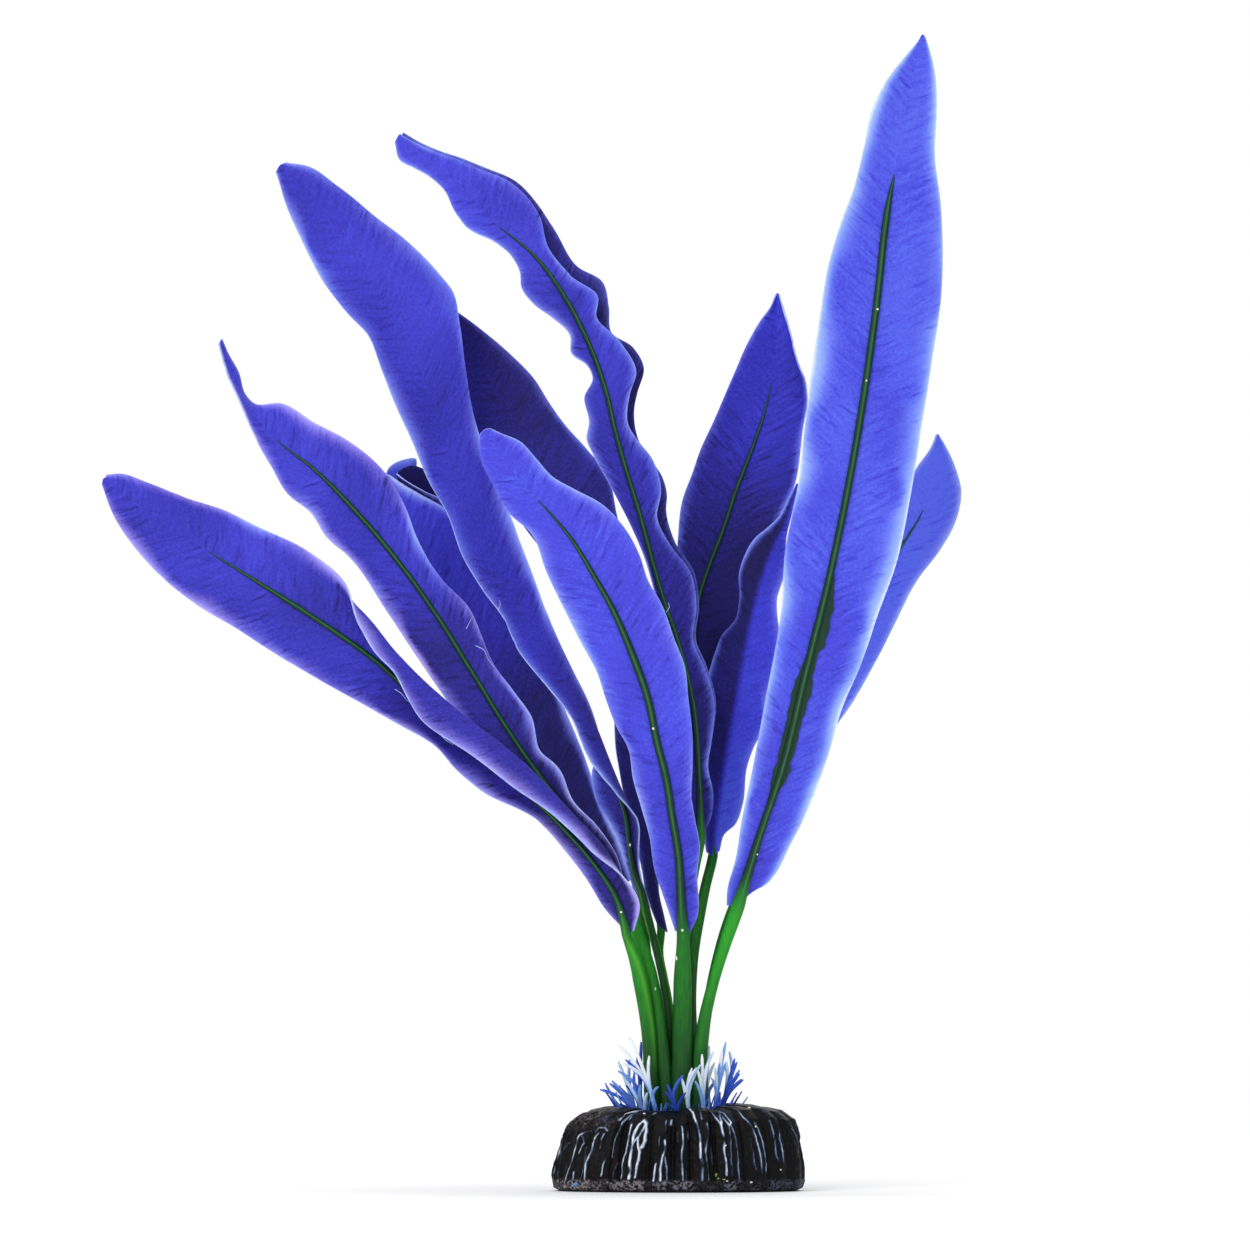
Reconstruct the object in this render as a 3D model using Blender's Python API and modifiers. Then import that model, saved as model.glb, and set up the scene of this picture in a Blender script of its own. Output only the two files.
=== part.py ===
"""Artificial echinodorus for an aquarium.

Thirteen cloth leaves stand on green plastic stems. Each stem runs on up its blade as the midrib.
A tuft of forked plastic grass hides the stems' feet, which stand in a pocket in the top of a
weighted base made like a lump of ribbed rock.

Metres, +Z up. The origin is the middle of the base's flat underside, and the front looks along -Y.
"""
import math
from dataclasses import dataclass

import bmesh
import bpy
from mathutils import Vector

MM = 0.001
GAP = 0.3

# Blades, in millimetres
BLADE_THICKNESS = 0.5
FACES_PER_SPAN = 2

# Stems and midribs, in millimetres
FOOT_Z = 14.6
RIB_RADIUS = 0.95
RIB_TIP_RADIUS = 0.35
STEM_PITCH = 14.0

# Base, in millimetres
BASE_HALF_WIDTH = 33.0
BASE_HALF_DEPTH = 23.0
COLUMN_COUNT = 22
COLUMN_DEPTH = 1.5
COLUMN_SEGMENTS = 3
POCKET_HALF_WIDTH = 13.0
POCKET_HALF_DEPTH = 10.0
POCKET_FLOOR = 14.0
POCKET_DEPTH = 9.0
POCKET_FLARE = 1.25
POCKET_SIDES = 24

# Each ring of the base from its underside up: share of the half width, height in millimetres,
# share of the columns' depth that shows there
BASE_RINGS = (
    (0.94, 0.0, 0.0),
    (1.00, 1.0, 0.15),
    (1.00, 4.2, 0.4),
    (0.98, 8.5, 1.0),
    (0.935, 14.5, 1.0),
    (0.88, 18.5, 0.8),
    (0.77, 20.3, 0.4),
    (0.60, 21.0, 0.1),
)
# The rock's right shoulder is fuller than the left one by this share of the half width, reached at
# this height
SHOULDER_LEAN = 0.03
SHOULDER_Z = 18.0
# No two neighbouring columns stand alike: how far they lean, as a share of the half width, how far
# their tops rise and from what height up, and the steps of the two uneven beats, in radians
LEAN = 0.02
LEAN_STEP = 2.3
RISE = 0.7
RISE_Z = 15.0
RISE_STEP = 1.7
# Below 1 the columns are round and the grooves between them narrow
COLUMN_ROUNDNESS = 0.6


@dataclass
class Leaf:
    """A blade hung between guide curves from its base to its tip, in millimetres.

    guides: the curves in order across the blade, from one margin to the other
    stem: points from the foot up to the blade
    rib_side: 1 where the rib stands on the face that looks forward, -1 on the other face
    rib_lift: extra distance of the rib from the blade, where the blade folds round it
    rib_end: how far up the blade the rib reaches, 0 to 1
    row_pitch: distance between the blade's rows
    stem_radius: radius of the stem below the blade
    across: where each guide lies across the blade, with the rib at 0.5
    """

    name: str
    guides: tuple
    stem: tuple
    rib_side: int = 1
    rib_lift: float = 0.0
    rib_end: float = 0.8
    row_pitch: float = 11.0
    stem_radius: float = 1.6
    across: tuple = (0.0, 0.5, 1.0)


FAR_LEFT = Leaf(
    name="far_left",
    guides=(
        ((-13.8, -8, 67.6), (-18.8, -9, 73), (-23.8, -11, 81), (-28.8, -13, 87.7), (-36.2, -15, 96),
         (-51.4, -19, 104.2), (-57.5, -20.6, 109.4), (-62.6, -22, 115.2), (-72.5, -24, 121.2),
         (-80, -25.2, 125.4), (-88.5, -26.5, 130.2), (-98, -27.4, 135.6), (-105, -28, 139.8),
         (-113.5, -28.8, 145.4), (-122.5, -29.5, 150.7), (-137.5, -30.5, 163.2),
         (-146.2, -30.5, 175.6), (-149, -30, 183)),
        ((-13.2, -8, 66.8), (-16, -9.5, 76), (-22.5, -11.5, 86), (-29.5, -13, 94),
         (-46, -16.5, 109.5), (-64.5, -19.5, 124.5), (-78.5, -21.5, 137.5), (-93.5, -23.5, 148),
         (-106, -25, 156), (-122, -26.5, 166), (-137.5, -28.5, 175.5), (-148.7, -30, 184.5)),
        ((-12.4, -8.5, 67.2), (-13.5, -10.5, 77), (-18.5, -14, 88), (-26, -16, 96.5),
         (-41, -19.5, 112), (-58.4, -22.3, 125.8), (-73.2, -22.8, 139.5), (-82.2, -22.3, 150.3),
         (-90, -22.3, 155.4), (-103, -23.5, 162), (-120, -25, 171), (-135, -27.5, 179),
         (-148, -29.5, 185)),
        ((-11.4, -9, 67.6), (-10, -11.5, 74), (-14, -15, 81.5), (-20.5, -18.5, 86.5),
         (-27, -20.5, 93), (-33.5, -22, 98.5), (-43, -24, 105), (-54, -26, 113.5),
         (-66.5, -27.5, 122.5), (-73.9, -28, 134.9), (-78.3, -27.8, 139.4), (-82.3, -27.2, 146.8),
         (-86.5, -25.5, 157.8), (-95.8, -23.4, 165.9), (-109.2, -22.6, 172.4), (-118, -23, 176.7),
         (-126.5, -24.5, 179.4), (-137.5, -27, 183.6), (-144.5, -28.5, 185.9),
         (-148, -29.5, 185.6)),
    ),
    across=(0.0, 0.5, 0.75, 1.0),
    stem=((-6.4, -3.6, FOOT_Z), (-7.7, -4, 28), (-8.3, -4.5, 40), (-9.5, -5.4, 50),
          (-11.7, -6.7, 59)),
    rib_end=0.82,
)

LEFT = Leaf(
    name="left",
    guides=(
        ((-15.5, -4, 80), (-24.5, -6, 88.5), (-34.5, -8.5, 98.5), (-45, -10.5, 109),
         (-54.5, -12, 120.2), (-63.2, -13, 132), (-70.2, -14, 142.3), (-75.7, -14.5, 150.6),
         (-84.8, -15.5, 164), (-91.4, -15.8, 170), (-95.2, -16, 176), (-101.3, -16.5, 181),
         (-105.8, -17, 188.5), (-112.4, -19, 202), (-116.3, -21, 210.5), (-118.9, -22, 219.5)),
        ((-14.6, -3.5, 79.5), (-20.5, -5, 88.5), (-29, -6.5, 99), (-41.5, -8.5, 115.5),
         (-53.5, -10, 134.5), (-62.5, -11, 149), (-72.5, -12, 163), (-82.5, -13, 175),
         (-96, -14, 188.5), (-102, -14.5, 193), (-111.5, -16, 203.5), (-115.5, -18.5, 211),
         (-118.6, -21, 220.5)),
        ((-14, -4, 80), (-16, -6, 87), (-20.5, -8, 94), (-27, -10, 101), (-31, -10, 109.5),
         (-36, -10, 114.5), (-38, -9, 123), (-42.5, -10, 129.5), (-48, -9.5, 137),
         (-51, -11, 144), (-54, -10.5, 151), (-61.5, -12, 159), (-65, -11, 164),
         (-68, -12.5, 170), (-71, -12, 178), (-76.5, -13, 187), (-86, -13.5, 195),
         (-94.5, -13, 199.5), (-103, -12.5, 204.5), (-110, -12, 204.5), (-112.5, -14, 207),
         (-114, -16.5, 212.5), (-117, -19, 218), (-118.3, -20.5, 221)),
    ),
    stem=((-2.6, -3.8, FOOT_Z), (-3.4, -3.6, 30), (-4.9, -3, 42), (-7.2, -2.4, 56),
          (-11.3, -2.4, 69)),
    rib_end=0.83,
)

ROLLED = Leaf(
    name="rolled",
    guides=(
        ((-12.2, 9.6, 80.9), (-19, 14.5, 93), (-25, 18.5, 108), (-32, 21, 122), (-40.5, 22.5, 138),
         (-48.5, 23.5, 152), (-55.5, 24, 165), (-61, 24, 177), (-65.8, 23.6, 184.6),
         (-68.6, 22.9, 188.8), (-68.6, 22.3, 190.8), (-71.7, 21, 190.7), (-74.4, 19.4, 189.5),
         (-75.7, 18, 188.3), (-76.1, 17, 187.4)),
        ((-14, 6.9, 79.4), (-21.3, 9, 92.3), (-31.6, 11, 106.6), (-40.2, 12.5, 123.5),
         (-50.3, 13.5, 139), (-59.8, 14.5, 153.5), (-68.2, 15, 167.5), (-73, 15.5, 178),
         (-75.4, 15.8, 184.5), (-76.2, 16.2, 186.7)),
        ((-12, 4.2, 81), (-15.5, 6, 91.3), (-20, 8, 100.6), (-22.3, 9, 107),
         (-25.9, 9, 116.7), (-29.9, 9, 126), (-35.9, 9.5, 138), (-43.7, 10, 153.4),
         (-51.5, 10.2, 165), (-60.3, 10.5, 177.3), (-67, 11, 181.2), (-72.3, 12, 184.3),
         (-75.4, 14.3, 186.4)),
    ),
    stem=((-6.4, 0, FOOT_Z), (-6, 0.4, 30), (-6.2, 1.2, 44), (-7.8, 2.6, 58), (-11.4, 4.4, 70)),
    rib_end=0.7,
)

# Lies inside the fold of the rolled leaf and shows at its tip
NESTED = Leaf(
    name="nested",
    guides=(
        ((-13.6, 10.4, 86.8), (-17.6, 13, 95), (-24.5, 16, 108), (-31, 18.2, 122),
         (-39, 19.6, 138), (-47, 20.6, 152), (-54, 21, 165), (-59.5, 21, 177),
         (-63.4, 20.4, 184.8), (-67.3, 19.4, 188.5), (-69.7, 18.6, 189), (-71.8, 17.8, 188.4),
         (-73, 17.2, 187.6)),
        ((-14.4, 8.6, 86), (-19.4, 10.6, 93), (-28.6, 13.2, 106.6), (-37, 14.8, 123.5),
         (-47, 15.9, 139), (-56.4, 16.7, 153.5), (-64.6, 17, 167.5), (-69.6, 16.9, 177.5),
         (-72.4, 16.6, 184), (-73.4, 16.5, 186.8)),
        ((-13.4, 6.9, 86.8), (-16.6, 7.8, 92), (-20.8, 10.2, 100), (-25, 11.4, 108),
         (-28.5, 11.6, 117), (-32.5, 11.8, 126), (-38.5, 12, 138), (-46, 12.4, 153),
         (-53.5, 12.6, 165), (-59.8, 12.8, 176), (-61.9, 13, 180.2), (-65.8, 13.4, 181.9),
         (-69.7, 14, 184), (-71.6, 14.8, 185.3), (-73.2, 15.8, 186.6)),
    ),
    stem=((-7.8, 3.6, FOOT_Z), (-7.6, 4.2, 30), (-7.4, 5.4, 44), (-7.7, 6.9, 58), (-9, 7.9, 69),
          (-10.8, 8.2, 78)),
    stem_radius=1.2,
    rib_side=-1,
    rib_end=0.08,
)

TURNED = Leaf(
    name="turned",
    guides=(
        ((-7.1, 0, 74), (-9.9, -1, 82.7), (-10.1, -2.5, 89.4), (-10.1, -4, 95.2),
         (-15.9, -5.5, 103.2), (-22.4, -5, 111), (-27.8, -3, 123), (-34.3, -1, 131.3),
         (-41.3, 0, 140.1), (-45.5, 1, 149.2), (-50.7, 1.5, 156.3), (-55.4, 2, 163.5),
         (-60.3, 3, 176.8), (-64.5, 3.5, 183.8), (-69.3, 4, 195), (-74.1, 5, 205.7),
         (-77.2, 5.5, 213.7), (-80.9, 6, 222.8), (-85.8, 6.5, 228), (-91.5, 7, 235.3),
         (-97.8, 8, 247), (-102.9, 9.5, 258.7), (-105, 10.5, 265.6)),
        ((-7.6, 0.5, 73.5), (-8.8, 0.5, 78), (-10.7, 0.5, 83), (-11.6, 0.5, 88), (-13.2, 0.7, 99),
         (-15.9, 1, 106.6), (-18.2, 1.5, 112.6), (-21.4, 2, 119.5), (-25, 2.5, 126),
         (-31.4, 3.4, 135), (-40.6, 5, 152.6), (-48.9, 6, 166.7), (-53.3, 7, 180), (-60.1, 8, 194),
         (-65, 9, 208), (-71.2, 10, 222.3), (-78.5, 10.5, 234.8), (-86.3, 11.5, 246.5),
         (-93.6, 12, 256.4), (-99.3, 12, 262.6), (-104, 11.5, 267.3)),
        ((-8.1, 1, 73.7), (-12.2, 1.5, 80.3), (-13.8, 2, 86), (-17.8, 3, 96), (-21.3, 4, 101.7),
         (-22.4, 6, 107.9), (-20.6, 8, 115.7), (-22.2, 7, 123.5), (-28, 6.5, 136.2),
         (-33.8, 7, 149.2), (-38.7, 8, 162.2), (-42.9, 9, 173.4), (-46.3, 10, 183.3),
         (-52, 10.5, 197), (-55.6, 11, 215), (-57, 11, 226.2), (-58.8, 11.5, 234.4),
         (-62.1, 12, 238.7), (-71, 13, 247.8), (-79, 13.5, 254), (-88.9, 13.5, 262),
         (-96.5, 13, 267.1), (-102.4, 12, 268.1)),
    ),
    stem=((-2.4, 0, FOOT_Z), (-2, 0, 36), (-2.5, 0.2, 48), (-4.3, 0.3, 57.3), (-6.5, 0, 66)),
    stem_radius=1.2,
    rib_side=-1,
    rib_lift=0.6,
    rib_end=0.82,
    row_pitch=8.0,
)

WAVY_MARGIN_LEFT = (
    (5.2, -1, 91.5), (2.6, -2.5, 101.4), (0.5, -3.5, 114.4), (-0.8, -4.5, 127.4),
    (-2.6, -5, 140.4), (-5.5, -6, 153.4), (-9.1, -7, 165.4), (-13, -8, 174.2),
    (-18.2, -9.5, 184.3), (-22.1, -11, 191.4), (-23.7, -12, 195.3), (-23.1, -10, 199.7),
    (-24.2, -11.5, 206.2), (-22.1, -9.5, 211.1), (-23.7, -11.5, 214.5), (-27.6, -13, 217.4),
    (-28.1, -11, 222.3), (-32.5, -12, 226.7), (-37.4, -13, 230.4), (-40.6, -12.5, 234.5),
    (-41.1, -11, 238.9), (-43.7, -11, 243.4), (-47.3, -12.5, 246.2), (-54.9, -13, 250.4),
    (-58.2, -12, 254.8), (-60.6, -11, 259.7), (-64, -12, 263.1), (-68.4, -12.5, 265.5),
    (-72.3, -12, 267.8), (-73.6, -11, 272.5),
)
WAVY_RIB = (
    (5.7, -0.5, 92), (5.5, -0.5, 101.4), (4.9, -1, 114.4), (3.6, -2, 127.4), (0.5, -3.5, 140.4),
    (-4.2, -5, 154.4), (-9.1, -7, 172.4), (-15.1, -8, 192.1), (-20.8, -8.5, 213.5),
    (-29.4, -9, 231.7), (-37.4, -9, 242.8), (-47.6, -9, 251.4), (-55.4, -9, 260),
    (-64.5, -9.5, 267.8), (-72.8, -10.5, 274),
)
WAVY_MARGIN_RIGHT = (
    (6.2, -0.5, 92), (8.6, 0.5, 97.2), (9.1, 1, 103), (7.8, -0.5, 110.5), (8.6, 1, 116.7),
    (9.4, 0.5, 127.4), (6.8, -1.5, 136.2), (3.9, -2.5, 143), (4.7, -1.5, 151.6),
    (3.4, -3, 160.4), (-2.1, -6, 168), (-5.5, -7, 175.2), (-4.4, -5.5, 182), (-6.8, -6.5, 190.3),
    (-10.7, -7.5, 195.3), (-13, -8.5, 199.2), (-12.5, -7, 207.2), (-10.9, -6, 212.7),
    (-15.1, -7.5, 220.7), (-21.3, -8.5, 227.5), (-20.8, -6.5, 232.4), (-27.6, -7.5, 237.6),
    (-33.8, -7, 245.2), (-36.1, -5, 253.5), (-44.2, -6, 262.6), (-51.5, -7, 265.5),
    (-56.7, -7, 267.8), (-63.4, -8.5, 270.1), (-69.7, -9, 273), (-72.3, -10, 274.6),
)
# The second wavy leaf lies close behind the first one and keeps most of its waves: how far it
# stands off at the base and at the tip
NEST_BASE = (0.2, 5.0, 0.3)
NEST_TIP = (0.9, 5.0, 0.3)
WAVY_BACK_MARGIN_RIGHT = (
    (6.4, 4.5, 92.3), (8.6, 5.5, 97.5), (9.2, 6, 103.3), (8, 4.5, 110.8), (8.8, 6, 117),
    (9.8, 5.5, 127.7), (7.4, 3.5, 136.5), (4.6, 2.5, 143.3), (5.4, 3.5, 151.9),
    (4.2, 2, 160.7), (-0.9, -1, 169), (-3.1, -1.5, 177.3), (-2.9, -1, 180.6), (-4.4, -1.4, 186.2),
    (-7, -2.2, 189.9), (-10.4, -3, 195.6), (-11.4, -2.6, 203.2), (-10.6, -1.6, 207.4),
    (-9, -0.8, 214.3), (-11.8, -1.6, 219.4), (-17.4, -3, 223.3), (-18, -2.4, 229.7),
    (-19.5, -1.8, 236.1), (-26.4, -2.4, 240.6), (-32.4, -1.4, 250.4), (-36.5, -0.6, 256.5),
    (-42.3, -1, 262.6), (-49.5, -1.8, 265.9), (-55.5, -2, 268.3), (-62.5, -3.4, 270.6),
    (-69, -4.2, 273.6), (-71.6, -5, 275.1),
)


def nested(points):
    """A guide of the second wavy leaf, moved off the same guide of the first."""
    base, tip = Vector(NEST_BASE), Vector(NEST_TIP)
    last = len(points) - 1
    return tuple(tuple(Vector(point) + base.lerp(tip, i / last)) for i, point in enumerate(points))


WAVY_FRONT = Leaf(
    name="wavy_front",
    guides=(WAVY_MARGIN_LEFT, WAVY_RIB, WAVY_MARGIN_RIGHT),
    stem=((0.8, 0, FOOT_Z), (0.6, -0.9, 35), (0.5, -1.8, 52), (1.8, -2.2, 72), (3.8, -2, 84)),
    stem_radius=1.4,
    rib_end=0.83,
    row_pitch=7.5,
)

WAVY_BACK = Leaf(
    name="wavy_back",
    guides=(nested(WAVY_MARGIN_LEFT), nested(WAVY_RIB), WAVY_BACK_MARGIN_RIGHT),
    stem=((0, 3.8, FOOT_Z), (0.2, 4.4, 35), (0.7, 5, 50), (1.3, 4.6, 62), (2.6, 3.8, 73),
          (4.4, 3.4, 83)),
    stem_radius=1.4,
    rib_end=0.83,
    row_pitch=7.5,
)

REAR_LEFT = Leaf(
    name="rear_left",
    guides=(
        ((-5.6, 9.2, 69.5), (-8, 10.2, 76), (-9.9, 11.5, 85.8), (-13.8, 13, 101.4),
         (-15.9, 14, 113.1), (-17.2, 15.5, 127.4), (-20.3, 17, 137.8), (-25.5, 18.5, 150.8),
         (-33.3, 20, 163.8), (-40.6, 21, 173.7), (-46.3, 22, 182), (-52.8, 23.5, 195),
         (-58, 25.6, 210.6), (-62.4, 27.1, 224.9), (-66.8, 27.9, 234.2)),
        ((-4.2, 9, 68), (-6, 11.6, 80.6), (-8.6, 14, 96.2), (-10.4, 16, 111.8),
         (-12.5, 18, 127.4), (-17.2, 20, 145.6), (-23.4, 22, 162.5), (-30.2, 23.5, 178),
         (-38, 25, 193.7), (-47, 26.5, 208), (-56.7, 27.5, 222.3), (-67, 28, 235.6)),
        ((-2.7, 9.4, 67), (-3.8, 10.6, 72), (-5.2, 12.4, 80), (-3.6, 14.5, 90), (-4.1, 17, 106.6),
         (-5.4, 19, 127.4), (-9.3, 21, 148.2), (-13.2, 22, 163.8), (-16, 22.5, 176.7),
         (-18.4, 23, 186.6), (-24.1, 23.5, 193.8), (-29.7, 24, 200.1), (-34, 24.5, 206.2),
         (-37.2, 25, 211.4), (-43.5, 25.5, 218.1), (-53, 26.5, 226.1), (-60.3, 27.5, 231.5),
         (-66, 28, 236.6)),
    ),
    stem=((-4, 3.8, FOOT_Z), (-3.2, 4.8, 30), (-2.3, 6.4, 44), (-2.6, 8.2, 54),
          (-3.6, 9.8, 62)),
    stem_radius=1.2,
    rib_side=-1,
)

FRONT = Leaf(
    name="front",
    guides=(
        ((-0.8, -9, 67.6), (-3.9, -12, 76.7), (-5.9, -14, 82.4), (-7.6, -17.5, 92.6),
         (-9.6, -20, 99.6), (-11.7, -22, 106.9), (-13, -24, 114.9), (-16.1, -25.5, 120.6),
         (-18.7, -27.5, 127.4), (-21.2, -29.5, 134.9), (-24.9, -31, 141.7), (-29.1, -33, 150),
         (-34.1, -35.5, 160.4), (-38, -37.5, 170.3), (-43.4, -38.5, 175.2), (-47.8, -40.5, 182.8),
         (-51, -42.5, 189.3), (-51.2, -44.5, 195.8)),
        ((1.3, -9, 67.3), (0.8, -11.5, 75.9), (0, -15, 87.9), (-1.8, -18.5, 98.5),
         (-3.1, -21, 106.9), (-5.7, -24, 117.3), (-7.8, -26.5, 127.4), (-11.7, -29.5, 138.6),
         (-17.2, -32.5, 151.3), (-22.1, -34.5, 159.9), (-27, -36.5, 168), (-35.9, -39, 178.6),
         (-42.4, -41, 185.9), (-46.3, -43, 191.6), (-49.7, -45, 197)),
        ((3.1, -9, 67), (4.9, -11, 71), (4.9, -14.5, 82.4), (5.5, -17, 90), (4.4, -19, 96.2),
         (3.4, -20.5, 102.4), (3.6, -22.5, 109.2), (3.6, -25, 118.3), (2.6, -27, 127.4),
         (1.6, -29, 136.2), (-1, -31, 143), (-4.2, -33, 151.8), (-7.8, -34.5, 158.1),
         (-10.1, -36, 164.8), (-13, -37, 170.3), (-19.5, -38.5, 177.6), (-27, -39.5, 181.7),
         (-32.5, -40, 184.9), (-36.9, -41.5, 189.8), (-40.6, -43, 193.7), (-45.5, -44.5, 195.8),
         (-48.4, -45, 197.2)),
    ),
    stem=((1, -3.8, FOOT_Z), (1, -4.4, 30), (1.1, -5.6, 45), (1.2, -7.4, 57)),
    rib_end=0.84,
)

REAR_RIGHT = Leaf(
    name="rear_right",
    guides=(
        ((2.1, 13, 101), (1.3, 15.5, 111.8), (1, 18, 127.4), (0.5, 20, 143), (-0.3, 21.5, 156),
         (0, 22.5, 169.5), (1.2, 23.5, 179.8), (4.1, 24.2, 187.9), (5.9, 24.8, 193.2),
         (9.1, 25.6, 200.1), (12.8, 26.5, 208.5), (15.8, 27.6, 215.6), (18.8, 28.6, 222.4),
         (21.7, 29.6, 227.3), (24.2, 30.3, 230.6), (25.5, 30.8, 233.4)),
        ((2.6, 13, 100.6), (3.6, 16, 117), (4.2, 19, 132.6), (5.7, 22, 155),
         (8.1, 23.5, 162.5), (11.7, 25, 171.9), (15.1, 26.5, 182.3), (19.6, 28, 194),
         (22.4, 29, 202), (24.4, 30, 210), (25.8, 31, 221), (26.2, 31.5, 234.6)),
        ((3.1, 13.2, 100.8), (5.7, 16, 115.7), (8.3, 19, 130), (11.4, 21.5, 145.6),
         (16.1, 24, 161.2), (20.5, 26, 174.2), (24.4, 27.5, 187.2), (28.2, 28.5, 197.6),
         (30.6, 28.5, 205.4), (31, 28.4, 214.2), (29.2, 29.2, 223.6), (26.9, 31.2, 234.1)),
        ((3.6, 13.4, 101), (8.8, 16.5, 117), (13, 19, 132.6), (17.4, 21.5, 148.2),
         (22.6, 24, 163.8), (26.8, 26, 175.2), (30.7, 27.5, 184.1), (32.8, 27.5, 198.6),
         (34, 26, 206.9), (33.4, 25, 211.4), (32, 24.6, 215), (30.1, 25, 221),
         (28.2, 27.4, 228.6), (27.2, 30.2, 233.4)),
    ),
    across=(0.0, 0.5, 0.75, 1.0),
    stem=((3.5, 3.8, FOOT_Z), (3.1, 5.4, 30), (3.1, 7.4, 45), (3.1, 9, 58), (2.9, 10.6, 75),
          (2.6, 11.8, 92)),
    rib_end=0.83,
)

TALL = Leaf(
    name="tall",
    guides=(
        ((12.6, -6, 74.1), (12.8, -7, 78), (14.9, -9, 85.8), (16.5, -11, 96.2), (19.2, -13, 109.2),
         (22.6, -16, 127.4), (26.5, -19, 149.2), (27.8, -21, 166.7), (30.7, -22, 181.2),
         (32.8, -23, 198.6), (35, -23.5, 216.1), (36.8, -23.5, 227.5), (38.5, -23.5, 238.2),
         (41.9, -23, 250.4), (45.8, -22.5, 261), (48.1, -22, 270.4), (49.9, -21.5, 279.5),
         (53.8, -20.5, 287.8), (58.8, -19.6, 294.3), (62.6, -19, 298.8)),
        ((15.6, -6, 74.6), (20.3, -9, 90), (26.8, -12.5, 109.5), (32.5, -16, 132.6),
         (39.5, -19.5, 161), (45.8, -22, 192.7), (51, -22.5, 227.5), (54.6, -21.5, 257),
         (56.2, -21, 265), (58.5, -20.5, 278.2), (61.1, -19.5, 290), (63.4, -19, 300)),
        ((19.3, -6, 78), (23, -6, 79.8), (25.3, -6.3, 82.5), (29.2, -7.5, 90), (34, -9, 99.6),
         (39, -10.5, 113.3), (42.2, -12.5, 124.5), (47.4, -15, 136.8), (51.8, -17, 149.7),
         (56.4, -18.5, 162.5), (60.3, -20, 181.2), (62.9, -20.5, 197.3), (65.4, -21, 213.2),
         (68.3, -21, 234.5), (68, -20.5, 255.8), (66.5, -20.5, 269.4), (67, -20, 279.2),
         (66.6, -19.5, 289.9), (65.1, -19.2, 296.3), (64.2, -19, 299)),
    ),
    stem=((5.4, -3.8, FOOT_Z), (5.5, -3.9, 30), (6.6, -4.6, 43), (8.6, -5.4, 52),
          (12.2, -6.6, 64)),
    rib_end=0.84,
)

FAR_RIGHT = Leaf(
    name="far_right",
    guides=(
        ((17.4, 5, 83.7), (22.6, 7, 98.8), (29.1, 9, 114.4), (36.9, 11, 130), (44.7, 12.5, 145.6),
         (49.9, 14, 158.6), (55.1, 15.5, 171.6), (59, 17, 182), (62.7, 18, 188.8),
         (66, 19, 193.4), (67.9, 19.5, 197.1)),
        ((18.2, 5, 83.2), (25.2, 8, 98.8), (32.5, 10.5, 114.4), (41.6, 13, 132.6),
         (49.9, 15.5, 150.8), (57.5, 17.5, 166.7), (60.3, 18, 170.8), (63.4, 18.5, 175.8),
         (66.6, 19, 185.9), (68.1, 20, 197.3)),
        ((19.2, 5.5, 83.7), (27, 8, 93.6), (33, 10.5, 106.6), (40.5, 12.5, 119.6),
         (46.3, 14.5, 128), (52.5, 16, 139.3), (57, 17, 148.2), (62.7, 18, 159.1),
         (68.8, 19, 167.2), (73, 19, 175.2), (74.2, 19, 182), (72.4, 19, 189.3),
         (70, 19.5, 194.4), (68.4, 20, 197.1)),
    ),
    stem=((7, 3.8, FOOT_Z), (6.4, 3.6, 36), (8.5, 3.4, 52), (12.4, 3.4, 68)),
    rib_end=0.84,
)

SHORT_RIGHT = Leaf(
    name="short_right",
    guides=(
        ((7.4, 6.5, 88), (6, 9, 96), (5.2, 11, 106), (5, 11.5, 114.4), (6.5, 12.5, 127.4),
         (9.9, 13, 140.4), (11.4, 13, 144.3), (15.1, 13, 148.7), (16.1, 13.5, 153.4),
         (16.1, 14, 161.2), (17.7, 14.5, 165.9), (20, 15, 169.8), (23.7, 15, 172.9),
         (26.5, 15.5, 175.5), (28.9, 16, 180.2), (30.9, 16.5, 184.1)),
        ((9.1, 6.5, 87), (10.4, 8, 98.5), (12.7, 9, 113.6), (15.1, 10, 127.4), (17.4, 11, 140.4),
         (20, 12, 153.4), (23.1, 13.5, 163.8), (27.6, 15, 174.2), (31.2, 16.5, 184.3)),
        ((10.9, 6.5, 88.4), (12, 7.2, 92.4), (15, 8, 95.2), (16.9, 9, 100.4), (18, 10, 110.2),
         (19.6, 11, 114.9), (22.9, 12, 121.4), (23.1, 12.5, 128.7), (25, 13, 133.1),
         (26.5, 13.5, 141.7), (26, 14.5, 154.7), (27.6, 15, 159.9), (28.6, 15.5, 171.6),
         (29.9, 16, 176.8), (31.5, 16.5, 183.8)),
    ),
    stem=((4.5, 0, FOOT_Z), (3.8, 0.8, 35), (3.3, 2, 50), (4.1, 3.4, 62), (5.6, 4.8, 71),
          (7.2, 6, 79)),
    rib_side=-1,
)

LEAVES = (FAR_LEFT, LEFT, ROLLED, NESTED, TURNED, WAVY_FRONT, WAVY_BACK, REAR_LEFT, FRONT, REAR_RIGHT,
          TALL, FAR_RIGHT, SHORT_RIGHT)

# Grass sprigs round the stems: where each one stands on the pocket's floor (x, y), and the tips
# (x, y, z) of its leading needle and its side needles, in millimetres
NEEDLE_FOOT_RADIUS = 0.6
NEEDLE_TIP_RADIUS = 0.25
SIDE_NEEDLE_SHARE = 0.7
NEEDLE_SIDES = 4
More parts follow.
